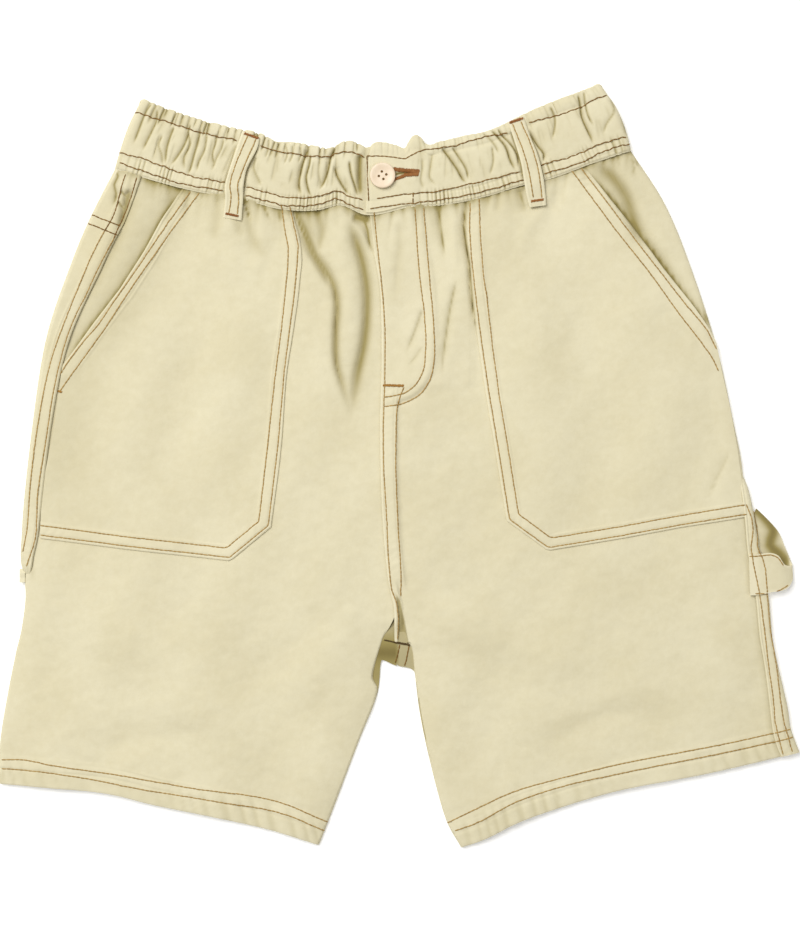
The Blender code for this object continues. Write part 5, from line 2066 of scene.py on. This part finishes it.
@dataclass
class Button:
    """A dished button with four sewn holes."""

    name: str = "button_horn"
    node: str = "button"
    centre: tuple[float, float] = (-11.6 * MM, 193.6 * MM)
    base: float = 8.6 * MM
    radius: float = 8.5 * MM
    height: float = 2.5 * MM
    rim: float = 2.0 * MM
    dish: float = 0.3 * MM
    hole_radius: float = 0.85 * MM
    hole_spread: float = 2.55 * MM
    turn: float = math.radians(12)
    hole_count: int = 4

    def hole_places(self) -> list[Vector]:
        """Centres of the holes in plan."""
        angles = [self.turn + index * 2 * math.pi / self.hole_count for index in range(self.hole_count)]
        return [Vector((math.cos(a), math.sin(a))) * self.hole_spread + Vector(self.centre) for a in angles]

    def build(self) -> Obj:
        """Models the button.

        Returns:
            The finished object.
        """
        button = self._cylinder(64, self.radius, self.height, self.centre)
        button.name = button.data.name = self.name
        bpy.ops.object.transform_apply(location=True, rotation=True, scale=True)
        self._pick_face(button, 1.0)
        bpy.ops.mesh.inset(thickness=self.rim, depth=0.0)
        bpy.ops.mesh.inset(thickness=0.9 * MM, depth=-self.dish)
        bpy.ops.object.mode_set(mode="OBJECT")
        self._pick_face(button, -1.0)
        bpy.ops.mesh.inset(thickness=1.0 * MM, depth=0.0)
        bpy.ops.object.mode_set(mode="OBJECT")
        round_edges = button.modifiers.new("Rounded", "BEVEL")
        round_edges.width = 0.62 * MM
        round_edges.segments = 4
        round_edges.limit_method = "ANGLE"
        round_edges.angle_limit = math.radians(25)
        apply_modifiers(button)
        for place in self.hole_places():
            cutter = self._cylinder(20, self.hole_radius, 8 * MM, place)
            cut = button.modifiers.new("Hole", "BOOLEAN")
            cut.operation = "DIFFERENCE"
            cut.object = cutter
            apply_modifiers(button)
            bpy.data.objects.remove(cutter, do_unlink=True)
        smooth_shade(button, 35.0)
        return button

    def _cylinder(self, vertices: int, radius: float, depth: float, place: Sequence[float]) -> Obj:
        """Adds an upright cylinder halfway up the button.

        Args:
            vertices: How many corners its round has.
            radius: Its radius.
            depth: Its height.
            place: Its middle in plan.

        Returns:
            The cylinder, the only object selected.
        """
        deselect_all()
        middle = (*place, self.base + self.height / 2)
        bpy.ops.mesh.primitive_cylinder_add(vertices=vertices, radius=radius, depth=depth, location=middle)
        return bpy.context.object

    @staticmethod
    def _pick_face(obj: Obj, facing: float) -> None:
        """Enters edit mode with only the largest face on one side selected.

        Args:
            obj: The object.
            facing: 1 for its upper side, -1 for its lower.
        """
        select_only(obj)
        bpy.ops.object.mode_set(mode="EDIT")
        bpy.ops.mesh.select_all(action="DESELECT")
        bpy.ops.object.mode_set(mode="OBJECT")
        faces = [face for face in obj.data.polygons if face.normal.z * facing > 0.9]
        max(faces, key=lambda face: face.area).select = True
        bpy.ops.object.mode_set(mode="EDIT")
        bpy.ops.mesh.select_mode(type="FACE")

    def dress(self, obj: Obj, wardrobe: Wardrobe) -> None:
        """Gives the button its finish and body, and hides the part it stands for.

        Args:
            obj: The button's object.
            wardrobe: The materials made so far.
        """
        wardrobe.dress(obj, Finish.HORN)
        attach(obj, BODY)
        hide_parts(self.node)
        LOG.info("%s: %d faces", obj.name, len(obj.data.polygons))


# ---------- Stitching ----------


class Line(NamedTuple):
    """A line of stitches in plan, in millimetres."""

    name: str
    finish: Finish
    path: Points
    rounded: bool = True


class Tack(NamedTuple):
    """A dense bar of thread from one point to another, how wide it is and its thread."""

    name: str
    start: tuple[float, float]
    end: tuple[float, float]
    width: float
    finish: Finish = Finish.RUST_THREAD


BROWN, TAN, AMBER = Finish.BROWN_THREAD, Finish.TAN_THREAD, Finish.AMBER_THREAD

# Where the garment is sewn, as its wearer's right and left.
LINES = (
    Line("right band top", BROWN, ((-176.9, 236.2), (-155, 229.6), (-134, 222.9), (-121, 219.8),
        (-109, 217.6))),
    Line("right band top inner", BROWN, ((-93.1, 214.1), (-86.4, 211), (-76, 209.2), (-67, 207.9),
        (-60, 206.8), (-53.6, 206.4), (-47.6, 206.9), (-41, 208.8), (-35.5, 210), (-31.5, 209.4),
        (-27, 207.6), (-23.9, 206.4))),
    Line("tab top", BROWN, ((-22.1, 207.2), (-15, 206.7), (-7.4, 206.4), (-2, 205.6), (2.7, 204.8),
        (5.4, 205.8), (9.5, 208.6), (14.7, 210.4), (26.8, 212.3), (34.2, 213.2), (43, 215.6), (52, 218.6),
        (62, 220.6), (71.7, 222.4))),
    Line("left band top", BROWN, ((86.2, 228.8), (94, 231.4), (102.5, 233), (111, 236), (120.3, 239.1),
        (125, 242.2), (130, 244.6), (140.4, 248.4))),
    Line("right seam upper", BROWN, ((-187.3, 209.2), (-170, 204.6), (-160, 200.6), (-150, 197),
        (-134, 192.1), (-126, 191), (-117, 189.3))),
    Line("right seam upper inner", BROWN, ((-102.6, 186.2), (-90, 182.9), (-78, 179.6), (-67, 178.8),
        (-60, 179.2), (-53.6, 180.2), (-47, 182.4), (-42.3, 183.6), (-33.1, 179.7), (-24.9, 177.6))),
    Line("tab upper", BROWN, ((-15.4, 178.2), (-4, 180.2), (8.9, 181.8), (26.8, 183.6), (40, 186.6),
        (57.4, 190.6), (79.6, 196.4))),
    Line("left seam upper", BROWN, ((94, 201), (105, 203.9), (116.2, 207), (126, 211.6), (136.7, 215.9),
        (151.1, 219.7))),
    Line("right seam lower", BROWN, ((-189.9, 203.3), (-176, 198.4), (-160, 192.9), (-146, 188.4),
        (-134, 186.3), (-118.4, 184))),
    Line("right seam lower inner", BROWN, ((-103.4, 180.6), (-90, 177.2), (-78, 174), (-67, 173.5),
        (-60, 173.9), (-53.6, 174.6), (-48, 177), (-43.3, 178.4), (-34.2, 174.9), (-27.9, 171.8),
        (-24.6, 171.2))),
    Line("tab lower", BROWN, ((-19.8, 171.6), (-6, 173.6), (7.9, 175.3), (26.8, 177.7), (40, 179.9),
        (57.4, 183.8), (82.7, 191.3))),
    Line("left seam lower", BROWN, ((96.5, 195.1), (108, 198.4), (120.3, 202.2), (131, 207.6), (140.7, 211.8),
        (153.8, 215.1))),
    Line("tab edge", BROWN, ((-22.1, 207), (-21.6, 192), (-20.9, 177)), False),
    Line("tab root", BROWN, ((8.7, 182.8), (8.6, 175.6)), False),
    Line("right mouth outer", TAN, ((-140.2, 183.3), (-160.3, 154.7), (-175.7, 131.5), (-191.2, 109.1),
        (-201.3, 94.6), (-211.3, 83.2), (-223.7, 66.6), (-226.8, 61.2))),
    Line("right mouth inner", TAN, ((-134.3, 182.5), (-155.6, 153.2), (-171.1, 130.8), (-188.1, 105.2),
        (-197.4, 91.2), (-206.7, 78.6), (-217.5, 63.5), (-227.3, 49.8))),
    Line("right pocket outer line", TAN, ((-73.6, 173), (-72.5, 167.6), (-70.1, 156.9), (-68, 147.3),
        (-68.9, 132.9), (-71.3, 109), (-73.1, 97), (-77.3, 63.6), (-81.2, 17), (-88, -39.9), (-114, -61.2),
        (-186.2, -53.1), (-240, -46.3)), False),
    Line("right pocket inner line", TAN, ((-79.4, 174), (-78.7, 171.2), (-77.3, 159.3), (-74.7, 146.1),
        (-74.9, 132.9), (-77.3, 109), (-79.3, 91), (-83.3, 61.2), (-88.1, 17), (-94.2, -37), (-116, -54.9),
        (-186.6, -46.9), (-240.4, -39.8)), False),
    Line("left mouth outer", TAN, ((120.9, 198.7), (150.1, 160), (174, 129.2), (193.1, 105.1), (206, 89.4),
        (211.4, 78.4))),
    Line("left mouth inner", TAN, ((114.9, 197), (143.3, 158.3), (163.9, 132.5), (187.9, 99.9), (202, 81.6),
        (209, 71.6), (213, 63.6))),
    Line("left pocket outer line", TAN, ((47, 175.6), (46.4, 159), (47.6, 140.5), (50.9, 110.9), (54.8, 80.8),
        (60.2, 44.3), (63.9, 22.5), (69.4, -11.9), (73.2, -35.7), (99.2, -54.6), (149.6, -46.3),
        (190.6, -38.8), (231.4, -32.2)), False),
    Line("left pocket inner line", TAN, ((52.9, 178.6), (53.6, 155), (55.6, 128.6), (58.2, 110.9),
        (61.6, 81.6), (66.5, 45.4), (70.2, 23.6), (75.7, -10.7), (79.2, -32.2), (100.9, -48.2), (150.6, -40),
        (191.7, -32.5), (230.4, -26)), False),
    Line("fly edge line", TAN, ((-17.4, 169.2), (-15, 146), (-12.6, 124.3), (-10.2, 93.5), (-10.2, 55.3),
        (-11, 30), (-11, 3.7), (-8.6, -40), (-8, -57), (-7, -70), (-5.4, -83.4), (-2.7, -90.5), (-1.5, -98),
        (-1.6, -116))),
    Line("fly curve inner", TAN, ((10, 171.9), (13.4, 124.3), (16.3, 101.2), (17.1, 78.1), (15.2, 62.8),
        (9.8, 53.5), (2.9, 48.6), (-4, 46.9), (-10.7, 45.9))),
    Line("fly curve outer", TAN, ((15.8, 172.3), (19.8, 124.3), (22.5, 93.5), (22.8, 70.4), (20.6, 58.9),
        (13.7, 48.1), (6, 43.2), (0.5, 41.2), (-10.2, 39.7))),
    Line("crotch line", TAN, ((2.6, 52.4), (0.4, 47), (-1.4, 40.8), (-2.6, 22), (-2.5, -10), (-1.1, -43),
        (0.6, -72), (0.5, -87))),
    Line("right side outer top", BROWN, ((-183.2, 194.9), (-186.6, 184.1), (-192, 165.5), (-197.3, 156.8))),
    Line("right side outer", TAN, ((-197.3, 156.8), (-200.5, 151), (-213.6, 122.4), (-222.9, 99.6),
        (-231.4, 75.9), (-236, 58.8), (-242, 27), (-247, -12.2), (-249.8, -46.4), (-252, -57.3))),
    Line("right side inner top", BROWN, ((-175.8, 192.6), (-180.2, 178.6), (-186.4, 163.2), (-191.2, 151.6))),
    Line("right side inner", TAN, ((-191.2, 151.6), (-202, 130.6), (-209.8, 114), (-217.5, 99), (-223.2, 84),
        (-227.4, 67.8), (-232.2, 45), (-235.4, 23.4), (-242, -19), (-244.4, -51.9), (-249.6, -66.9))),
    Line("yoke upper", BROWN, ((-206.3, 168), (-196, 163.8), (-186.8, 160.2))),
    Line("yoke lower", BROWN, ((-208.6, 162.2), (-198, 157.8), (-188.8, 154))),
    Line("left side near", TAN, ((231.4, -25.8), (234.6, -34), (235.8, -43.2), (234.5, -54.2), (235.4, -62),
        (240.7, -88.8), (243, -106), (246.6, -136), (249.7, -158.6), (250.4, -169.2), (255.9, -192.6))),
    Line("left side far", TAN, ((236.4, -30.2), (239.3, -43.2), (238.9, -54.2), (242.1, -62), (245.4, -86),
        (247.6, -110.4), (251.4, -131.8), (253.8, -152.5), (255.9, -167.8), (262.1, -191))),
    Line("fork right", BROWN, ((-0.3, -119.8), (-1.4, -126), (-3, -132)), False),
    Line("fork left", BROWN, ((6, -120.6), (4.9, -127), (3.2, -134)), False),
    Line("right hem upper", TAN, ((-266.4, -196.6), (-252.6, -196.6), (-230.5, -200.5), (-193, -206),
        (-144.9, -214.6), (-73.2, -227.4), (-48.6, -238.3))),
    Line("right hem lower", TAN, ((-266.4, -202.6), (-250.9, -203.5), (-216.7, -207.8), (-172.3, -216.3),
        (-121, -224.8), (-73.2, -234.2), (-50.4, -244.3))),
    Line("left hem upper", TAN, ((31.8, -239), (46.2, -231.7), (73.5, -218.8), (102.5, -210.3), (143.6, -200),
        (188, -191.5), (246.1, -179.6), (261, -175.9))),
    Line("left hem lower", TAN, ((34.2, -245), (49.6, -239.4), (75.2, -225.7), (107.7, -214.6), (145.3, -206),
        (188, -197.5), (249.5, -184.6), (262.8, -181.3))),
    Line("right loop near", TAN, ((-101.4, 220.2), (-106, 209.7), (-111, 196.4), (-113.4, 186.8),
        (-112.6, 179.6), (-114.2, 168.8))),
    Line("right loop far", TAN, ((-96.1, 217.8), (-100.4, 207.9), (-105, 196.4), (-108.4, 186.8),
        (-107.6, 178.6), (-108.6, 168.2))),
    Line("left loop near", TAN, ((75, 227.9), (81.9, 210.5), (86, 195.4), (88.9, 179.2))),
    Line("left loop far", TAN, ((80.6, 229.6), (87.2, 214), (91.8, 198.9), (94.7, 179.2))),
    Line("hammer loop top", TAN, ((233.4, -60.4), (242, -60), (248, -59.4), (252.4, -61.4), (256, -66.4))),
    Line("hammer loop base", TAN, ((237.4, -85.4), (245.4, -85.2), (254.6, -82.6), (259, -79.6))),
)
TACKS = (
    Tack("right loop top", (-103.8, 221.7), (-94.2, 218.4), 1.7),
    Tack("right loop foot", (-116.4, 168.5), (-107.8, 166.6), 1.5),
    Tack("left loop top", (72.9, 228.8), (82, 231.8), 1.9),
    Tack("left loop foot", (87.5, 176.6), (95.9, 177.8), 1.6),
    Tack("fly foot", (-11.4, 53.9), (2.4, 53.5), 1.7, AMBER),
    Tack("right mouth foot", (-228.6, 50.2), (-226, 49.2), 1.4, AMBER),
    # The fork seam's bars are near-black: mostly the seam's shadow painted in, over its thread.
    Tack("fork seam", (-10.6, -116.6), (-2.6, -118.2), 0.9, Finish.SHADED_THREAD),
    Tack("fork seam at the left leg", (-2.6, -118.2), (6.4, -119.9), 1.4, Finish.SHADED_THREAD),
)
BUTTONHOLE = (
    Tack("upper lip", (-4.6, 197.9), (12.9, 196.4), 2.7),
    Tack("lower lip", (-4.2, 190.9), (3, 193.6), 2.2),
    Tack("joined lips", (2.4, 194), (12.6, 194.8), 2.8),
)


class Cloth:
    """The top of all the dressed cloth, felt from straight above."""

    def __init__(self, pieces: Sequence[Obj]) -> None:
        """Prepares a tree of the faces.

        Args:
            pieces: The cloth's pieces.
        """
        corners, faces, start = [], [], 0
        for piece in pieces:
            mesh = piece.data
            flat = np.empty(len(mesh.vertices) * 3)
            mesh.vertices.foreach_get("co", flat)
            corners.append(flat.reshape(-1, 3))
            faces += [[start + index for index in face.vertices] for face in mesh.polygons]
            start += len(mesh.vertices)
        self._tree = BVHTree.FromPolygons(np.concatenate(corners).tolist(), faces)

    def touch(self, place: Array) -> Vector | None:
        """The highest point of the cloth at a place, or None beside it."""
        return self._tree.ray_cast(Vector((place[0], place[1], 0.05)), Vector((0.0, 0.0, -1.0)))[0]


@dataclass
class Stitching:
    """All the stitches: one stitch modelled once and copied along every line, laid on the cloth."""

    pitch: float = 2.95 * MM
    length: float = 2.86 * MM
    width: float = 0.90 * MM
    thickness: float = 0.44 * MM
    sink: float = 0.06 * MM
    spread: float = 1.25
    loose_above: float = 166.0 * MM
    tack_pitch: float = 0.42 * MM
    tack_size: tuple[float, float] = (0.55 * MM, 0.6 * MM)
    button_lifts: tuple[float, float] = (0.9 * MM, 1.5 * MM)
    seed: int = 3

    @staticmethod
    def _stitch() -> tuple[Array, list[tuple[int, ...]]]:
        """Models one stitch, a metre long and wide.

        Returns:
            Its points and its faces.
        """
        deselect_all()
        bpy.ops.mesh.primitive_uv_sphere_add(segments=6, ring_count=5, radius=0.5)
        pattern = bpy.context.object
        bpy.ops.object.mode_set(mode="EDIT")
        bpy.ops.transform.rotate(value=math.pi / 2, orient_axis="Y", center_override=(0.0, 0.0, 0.0))
        bpy.ops.object.mode_set(mode="OBJECT")
        corners = np.array([vert.co[:] for vert in pattern.data.vertices])
        faces = [tuple(face.vertices) for face in pattern.data.polygons]
        bpy.data.objects.remove(pattern, do_unlink=True)
        return corners, faces

    def _place(
        self, cloth: Cloth, start: Array, end: Array, size: tuple[float, float], spread: float
    ) -> Array | None:
        """A frame that carries the stitch to its place.

        Args:
            cloth: What it lies on.
            start: One end in plan.
            end: The other end in plan.
            size: Its width and thickness.
            spread: How much longer than the distance between its ends it is.

        Returns:
            A 4 by 3 array of its axes and its middle, or None beside the cloth.
        """
        first, last = cloth.touch(start), cloth.touch(end)
        middle = cloth.touch((start + end) / 2)
        if first is None or last is None or middle is None:
            return None
        along = last - first
        if abs(along.z) > 1.2 * math.hypot(along.x, along.y):
            along.z = 0.0
        across = Vector((0.0, 0.0, 1.0)).cross(along).normalized()
        up = along.cross(across).normalized()
        level = max(middle.z, (first.z + last.z) / 2)
        centre = Vector((middle.x, middle.y, level)) + up * (size[1] / 2 - self.sink)
        return np.array([along * spread, across * size[0], up * size[1], centre])

    def _lay(self, name: str, frames: list[Array], finish: Finish, wardrobe: Wardrobe) -> Obj:
        """Joins copies of the stitch into one object.

        Args:
            name: The object's name.
            frames: Where each copy lies.
            finish: The thread.
            wardrobe: Where the finishes come from.

        Returns:
            The object.
        """
        corners, faces = self._stitch()
        stack = np.array(frames)
        placed = np.einsum("va,nab->nvb", corners, stack[:, :3]) + stack[:, None, 3]
        count = len(corners)
        mesh = bpy.data.meshes.new(name)
        starts = range(0, len(frames) * count, count)
        every = [tuple(corner + start for corner in face) for start in starts for face in faces]
        mesh.from_pydata(placed.reshape(-1, 3).tolist(), [], every)
        mesh.polygons.foreach_set("use_smooth", [True] * len(mesh.polygons))
        obj = bpy.data.objects.new(name, mesh)
        bpy.context.scene.collection.objects.link(obj)
        select_only(obj)
        bpy.ops.object.mode_set(mode="EDIT")
        bpy.ops.mesh.select_all(action="SELECT")
        bpy.ops.mesh.normals_make_consistent(inside=False)
        bpy.ops.object.mode_set(mode="OBJECT")
        wardrobe.dress(obj, finish)
        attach(obj, BODY)
        LOG.info("%s: %d stitches", name, len(frames))
        return obj

    @staticmethod
    def wander(place: Array) -> Array:
        """How far the gathers pull a waistband's stitches off their way, at places along X."""
        loose = 1 - 0.75 * bell(place + 6.5 * MM, 14.0 * MM)
        return loose * (0.34 * MM * np.sin(place / (0.9 * MM)) + 0.26 * MM * np.sin(place / (2.3 * MM) + 1.0))

    def lines(self, cloth: Cloth) -> dict[Finish, list[Array]]:
        """Places the stitches of every line.

        Args:
            cloth: What they are sewn on.

        Returns:
            Their frames by their thread.
        """
        draw = np.random.default_rng(self.seed)
        frames: dict[Finish, list[Array]] = {}
        for line in LINES:
            path = Path(line.path, line.rounded)
            count = max(2, round(path.length / self.pitch))
            for index in range(count):
                middle = (index + 0.5) * path.length / count
                half = self.length / 2 * draw.uniform(0.92, 1.04)
                ends = path.at(np.array([middle - half, middle + half]))
                gathered = (line.finish is BROWN) * (ends[:, 1] > self.loose_above)
                ends[:, 1] += self.wander(ends[:, 0]) * gathered
                ends += draw.normal(0.0, 0.06 * MM, 2)
                frame = self._place(cloth, *ends, (self.width, self.thickness), self.spread)
                if frame is not None:
                    frames.setdefault(line.finish, []).append(frame)
        return frames

    def bars(self, cloth: Cloth) -> dict[Finish, list[Array]]:
        """Places the dense stitches of the bar tacks and the buttonhole.

        Args:
            cloth: What they are sewn on.

        Returns:
            Their frames by their thread.
        """
        draw = np.random.default_rng(self.seed + 1)
        frames: dict[Finish, list[Array]] = {}
        for tack in (*TACKS, *BUTTONHOLE):
            start, end = np.array(tack.start) * MM, np.array(tack.end) * MM
            run = end - start
            length = np.linalg.norm(run)
            across = np.array([-run[1], run[0]]) / length * tack.width / 2 * MM
            slant = run / length * 0.25 * MM
            for index in range(round(length / self.tack_pitch)):
                middle = start + run * (index + 0.5) * self.tack_pitch / length
                reach = across * draw.uniform(0.75, 1.2) + slant
                frame = self._place(cloth, middle - reach, middle + reach, self.tack_size, 1.1)
                if frame is not None:
                    frames.setdefault(tack.finish, []).append(frame)
        return frames

    def sew(self, cloth: Cloth, wardrobe: Wardrobe) -> list[Obj]:
        """Lays every stitch.

        Args:
            cloth: What they are sewn on.
            wardrobe: Where the finishes come from.

        Returns:
            One object for each thread.
        """
        placed = ("stitches", self.lines(cloth)), ("bars", self.bars(cloth))
        return [
            self._lay(f"{kind}_{finish.name.lower()}", frames, finish, wardrobe)
            for kind, threads in placed
            for finish, frames in threads.items()
        ]

    def button_thread(self, button: Button, wardrobe: Wardrobe) -> Obj:
        """Puts thread in the button's holes.

        Args:
            button: The button.
            wardrobe: Where the finishes come from.

        Returns:
            The thread.
        """
        frames = []
        for place in button.hole_places():
            for lift in self.button_lifts:
                axis = Vector((0.9 * MM, 0.5 * MM, 0.0))
                side = Vector((-0.5 * MM, 0.9 * MM, 0.0))
                centre = Vector((*place, button.base + lift))
                frames.append(np.array([axis * 1.35, side * 1.1, Vector((0, 0, 0.7 * MM)), centre]))
        return self._lay("stitches_button", frames, Finish.BROWN_THREAD, wardrobe)


# ---------- The garment and its stage ----------

# Edges of the straps, and the pockets' mouths.
RIGHT_LOOP = (
    StrapEdge(-105.2, 223.4, -93.6, 218.8, 8.9),
    StrapEdge(-108.6, 213, -95.6, 211, 9.4),
    StrapEdge(-113.8, 197.6, -102, 198.4, 9.9),
    StrapEdge(-116.8, 186.8, -104.2, 188, 9.7),
    StrapEdge(-116.6, 178.4, -104.6, 180, 8.8),
    StrapEdge(-118, 165.8, -105.8, 163.8, 7.4),
)
LEFT_LOOP = (
    StrapEdge(72.2, 229.2, 82.4, 233, 8.9),
    StrapEdge(76.4, 216.3, 86.6, 220, 9.5),
    StrapEdge(80.6, 202.4, 91.8, 207.3, 10),
    StrapEdge(82.6, 190.8, 95.4, 193, 9.6),
    StrapEdge(84.6, 180, 97, 182, 8.4),
    StrapEdge(86.6, 172.6, 97.6, 174, 7.4),
)
HAMMER_LOOP = (
    StrapEdge(233.8, -86.4, 232.8, -59.1, 7.5),
    StrapEdge(240.4, -86.2, 239.4, -59, 7.5),
    StrapEdge(247.6, -84.4, 246.9, -58.1, 7.4),
    StrapEdge(255.2, -83.3, 252.6, -60, 7.2),
    StrapEdge(260.1, -80.5, 257.2, -66, 6.1),
    StrapEdge(263, -75, 262.4, -66.4, 3.8),
    StrapEdge(260.2, -73, 261.4, -62.6, 1.8),
    StrapEdge(250.8, -70, 257.6, -53.6, 1.1),
    StrapEdge(242.8, -60, 253.6, -44.4, 1),
    StrapEdge(237.4, -48, 246.8, -36.4, 1),
    StrapEdge(234.4, -37, 238.8, -28.6, 1),
)
RIGHT_MOUTH: Points = (
    (-145.8, 185.5), (-159.5, 164.6), (-171, 143.4), (-186.8, 118.1), (-206.5, 93.1), (-217.4, 78.1),
    (-225.6, 67.1),
)
LEFT_MOUTH: Points = (
    (124, 199), (139.8, 179), (155.5, 160), (175.9, 132.4), (196.5, 106.4), (206.5, 92.4), (211.6, 82.4),
)


@dataclass
class Shorts:
    """The whole garment."""

    form: Form = field(default_factory=Form)
    leg_cuts: tuple[Cut, Cut] = (Cut(0.290, 0.490, 0.106), Cut(0.300, 0.460, 0.104))
    pocket_cut: Cut = Cut(0.190, 0.265, 0.0385)
    band_cut: Cut = Cut(0.240, 0.050)
    loop_cut: Cut = Cut(0.0125, 0.062)

    def panels(self) -> list[Piece]:
        """Lists the cloth pieces in the order they are made up.

        Returns:
            Every piece with its sizes.
        """
        front_cut, back_cut = self.leg_cuts
        right, left = {"side": Side.RIGHT, "form": self.form}, {"side": Side.LEFT, "form": self.form}
        return [
            Back("back_left", back_cut, **left, first=0.97),
            Back("back_right", back_cut, **right, first=0.90, fork_droop=5.0 * MM),
            Back("back_yoke_left", Cut(0.205, 0.060, 0.0094), **left, last=1.0),
            Back("back_yoke_right", Cut(0.215, 0.060, 0.0098), **right, last=1.0, lap_rise=1.45 * MM),
            Front("front_right", front_cut, **right, mouth=Path(RIGHT_MOUTH)),
            Front("front_left", front_cut, **left, mouth=Path(LEFT_MOUTH), tuck=0.0, sunk_by=1.9 * MM),
            Underlap("fly_underlap", Cut(0.030, 0.150, 0.0037), form=self.form),
            self.right_pocket(),
            self.left_pocket(),
            BandBack("waistband_back", Cut(0.400, 0.046), held="gathered"),
            Waistband("waistband_right", self.band_cut, held="gathered", side=Side.RIGHT),
            Waistband("waistband_left", self.band_cut, held="gathered", side=Side.LEFT, seed=8),
            Strap("belt_loop_right", self.loop_cut, edges=RIGHT_LOOP),
            Strap("belt_loop_left", self.loop_cut, edges=LEFT_LOOP),
            HammerLoop("hammer_loop", Cut(0.020, 0.075), edges=HAMMER_LOOP),
            SideTab("side_tab_right", Cut(0.010, 0.010, 0.00009)),
        ]

    def right_pocket(self) -> Pocket:
        """Lays out the patch pocket on the wearer's right.

        Returns:
            The pocket, not built yet.
        """
        return Pocket(
            "patch_pocket_right",
            self.pocket_cut,
            side=Side.RIGHT,
            form=self.form,
            waist=((-145.8, 186.4), (-120, 182.6), (-98, 179.8), (-72.5, 175)),
            mouth=RIGHT_MOUTH,
            flank=((-228, 47.9), (-231.6, 23.4), (-239.6, -16.3), (-240.4, -40.9), (-240.4, -48.4)),
            bottom=((-240.4, -48.4), (-186, -55.3), (-113.5, -63.4), (-86.2, -40.9)),
            inner=(
                (-72.5, 175), (-71, 166.7), (-67.2, 152), (-65.9, 142.5), (-67.1, 123.4), (-71.3, 91),
                (-75.6, 64), (-79.1, 17), (-86.2, -40.9),
            ),
        )

    def left_pocket(self) -> Pocket:
        """Lays out the patch pocket on the wearer's left.

        Returns:
            The pocket, not built yet.
        """
        return Pocket(
            "patch_pocket_left",
            self.pocket_cut,
            side=Side.LEFT,
            form=self.form,
            waist=((124, 200.6), (98.5, 192), (70, 184.2), (44.4, 178)),
            mouth=LEFT_MOUTH,
            flank=((215.6, 62), (221, 38), (226, 10), (229.4, -16), (232, -34)),
            bottom=((232, -34.4), (190.3, -40.9), (149.3, -48.4), (98.7, -56.6), (71.4, -36.8)),
            inner=(
                (44.4, 178), (45.1, 149), (47.8, 114.7), (52.7, 80.5), (58.1, 43.9), (61.8, 22),
                (67.3, -12.2), (71.4, -36.8),
            ),
        )


@dataclass
class Stage:
    """The floor, the lights and the camera."""

    floor_size: float = 6.0
    floor_below: float = 0.3 * MM
    floor_colour: Triple = (0.96, 0.96, 0.96)
    floor_glow: float = 0.22
    lens: float = 85.0
    frame_height: float = 0.6238
    aim: Triple = (0.0, -0.0004, 0.005)
    sky: float = 0.29
    sky_colour: tuple[float, float, float, float] = (1.0, 0.985, 0.94, 1.0)
    key_place: Triple = (-1.3, 1.25, 2.75)
    key_power: float = 105.6
    key_size: float = 2.2
    fill_place: Triple = (1.9, -0.6, 2.6)
    fill_power: float = 14.0
    fill_size: float = 1.8

    def floor(self) -> Obj:
        """Lays a plain pale floor that glows faintly, so that the garment's shadows on it wash out.

        Returns:
            The floor.
        """
        deselect_all()
        bpy.ops.mesh.primitive_plane_add(size=self.floor_size, location=(0.0, 0.0, -self.floor_below))
        floor = bpy.context.object
        floor.name = floor.data.name = "floor"
        nodes = Nodes("pale_floor")
        shade = nodes.ramp(nodes.noise(nodes.object_coordinates(), 3.0), 0.3, 0.7)
        tone = nodes.mix(shade, self.floor_colour, tuple(0.99 * part for part in self.floor_colour))
        nodes.link(tone, nodes.shader.inputs["Base Color"])
        nodes.set(nodes.shader, Roughness=0.95, Specular_IOR_Level=0.1)
        nodes.set(nodes.shader, Emission_Color=(1.0, 1.0, 1.0, 1.0), Emission_Strength=self.floor_glow)
        floor.data.materials.append(nodes.material)
        return floor

    def lamp(self, name: str, place: Triple, power: float, size: float) -> None:
        """Hangs a soft square light that faces the garment's middle.

        Args:
            name: Its name.
            place: Where it hangs.
            power: Its power in watts.
            size: Its side.
        """
        data = bpy.data.lights.new(name, "AREA")
        data.energy, data.size = power, size
        lamp = bpy.data.objects.new(name, data)
        bpy.context.scene.collection.objects.link(lamp)
        lamp.location = place
        lamp.rotation_euler = (Vector(self.aim) - Vector(place)).to_track_quat("-Z", "Y").to_euler()

    def build(self) -> None:
        """Sets the floor, the lights, the sky and the camera."""
        self.floor()
        self.lamp("key_light", self.key_place, self.key_power, self.key_size)
        self.lamp("fill_light", self.fill_place, self.fill_power, self.fill_size)
        world = bpy.data.worlds.new("sky")
        world.use_nodes = True
        backdrop = world.node_tree.nodes["Background"].inputs
        backdrop["Color"].default_value, backdrop["Strength"].default_value = self.sky_colour, self.sky
        scene = bpy.context.scene
        scene.world = world
        scene.view_settings.view_transform = "Standard"
        data = bpy.data.cameras.new("camera")
        data.lens, data.clip_end = self.lens, 20.0
        camera = bpy.data.objects.new("camera", data)
        scene.collection.objects.link(camera)
        distance = self.frame_height / 2 / (data.sensor_width / 2 / self.lens)
        camera.location = (self.aim[0], self.aim[1], self.aim[2] + distance)
        scene.camera = camera


def main() -> None:
    """Builds the garment and its stage, and reports each piece."""
    logging.basicConfig(level=logging.INFO, format="%(message)s")
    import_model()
    wardrobe = Wardrobe()
    cloth = Cloth([panel.finish_piece(panel.build(), wardrobe) for panel in Shorts().panels()])
    button = Button()
    button.dress(button.build(), wardrobe)
    stitching = Stitching()
    stitching.sew(cloth, wardrobe)
    stitching.button_thread(button, wardrobe)
    Stage().build()


if __name__ == "__main__":
    main()
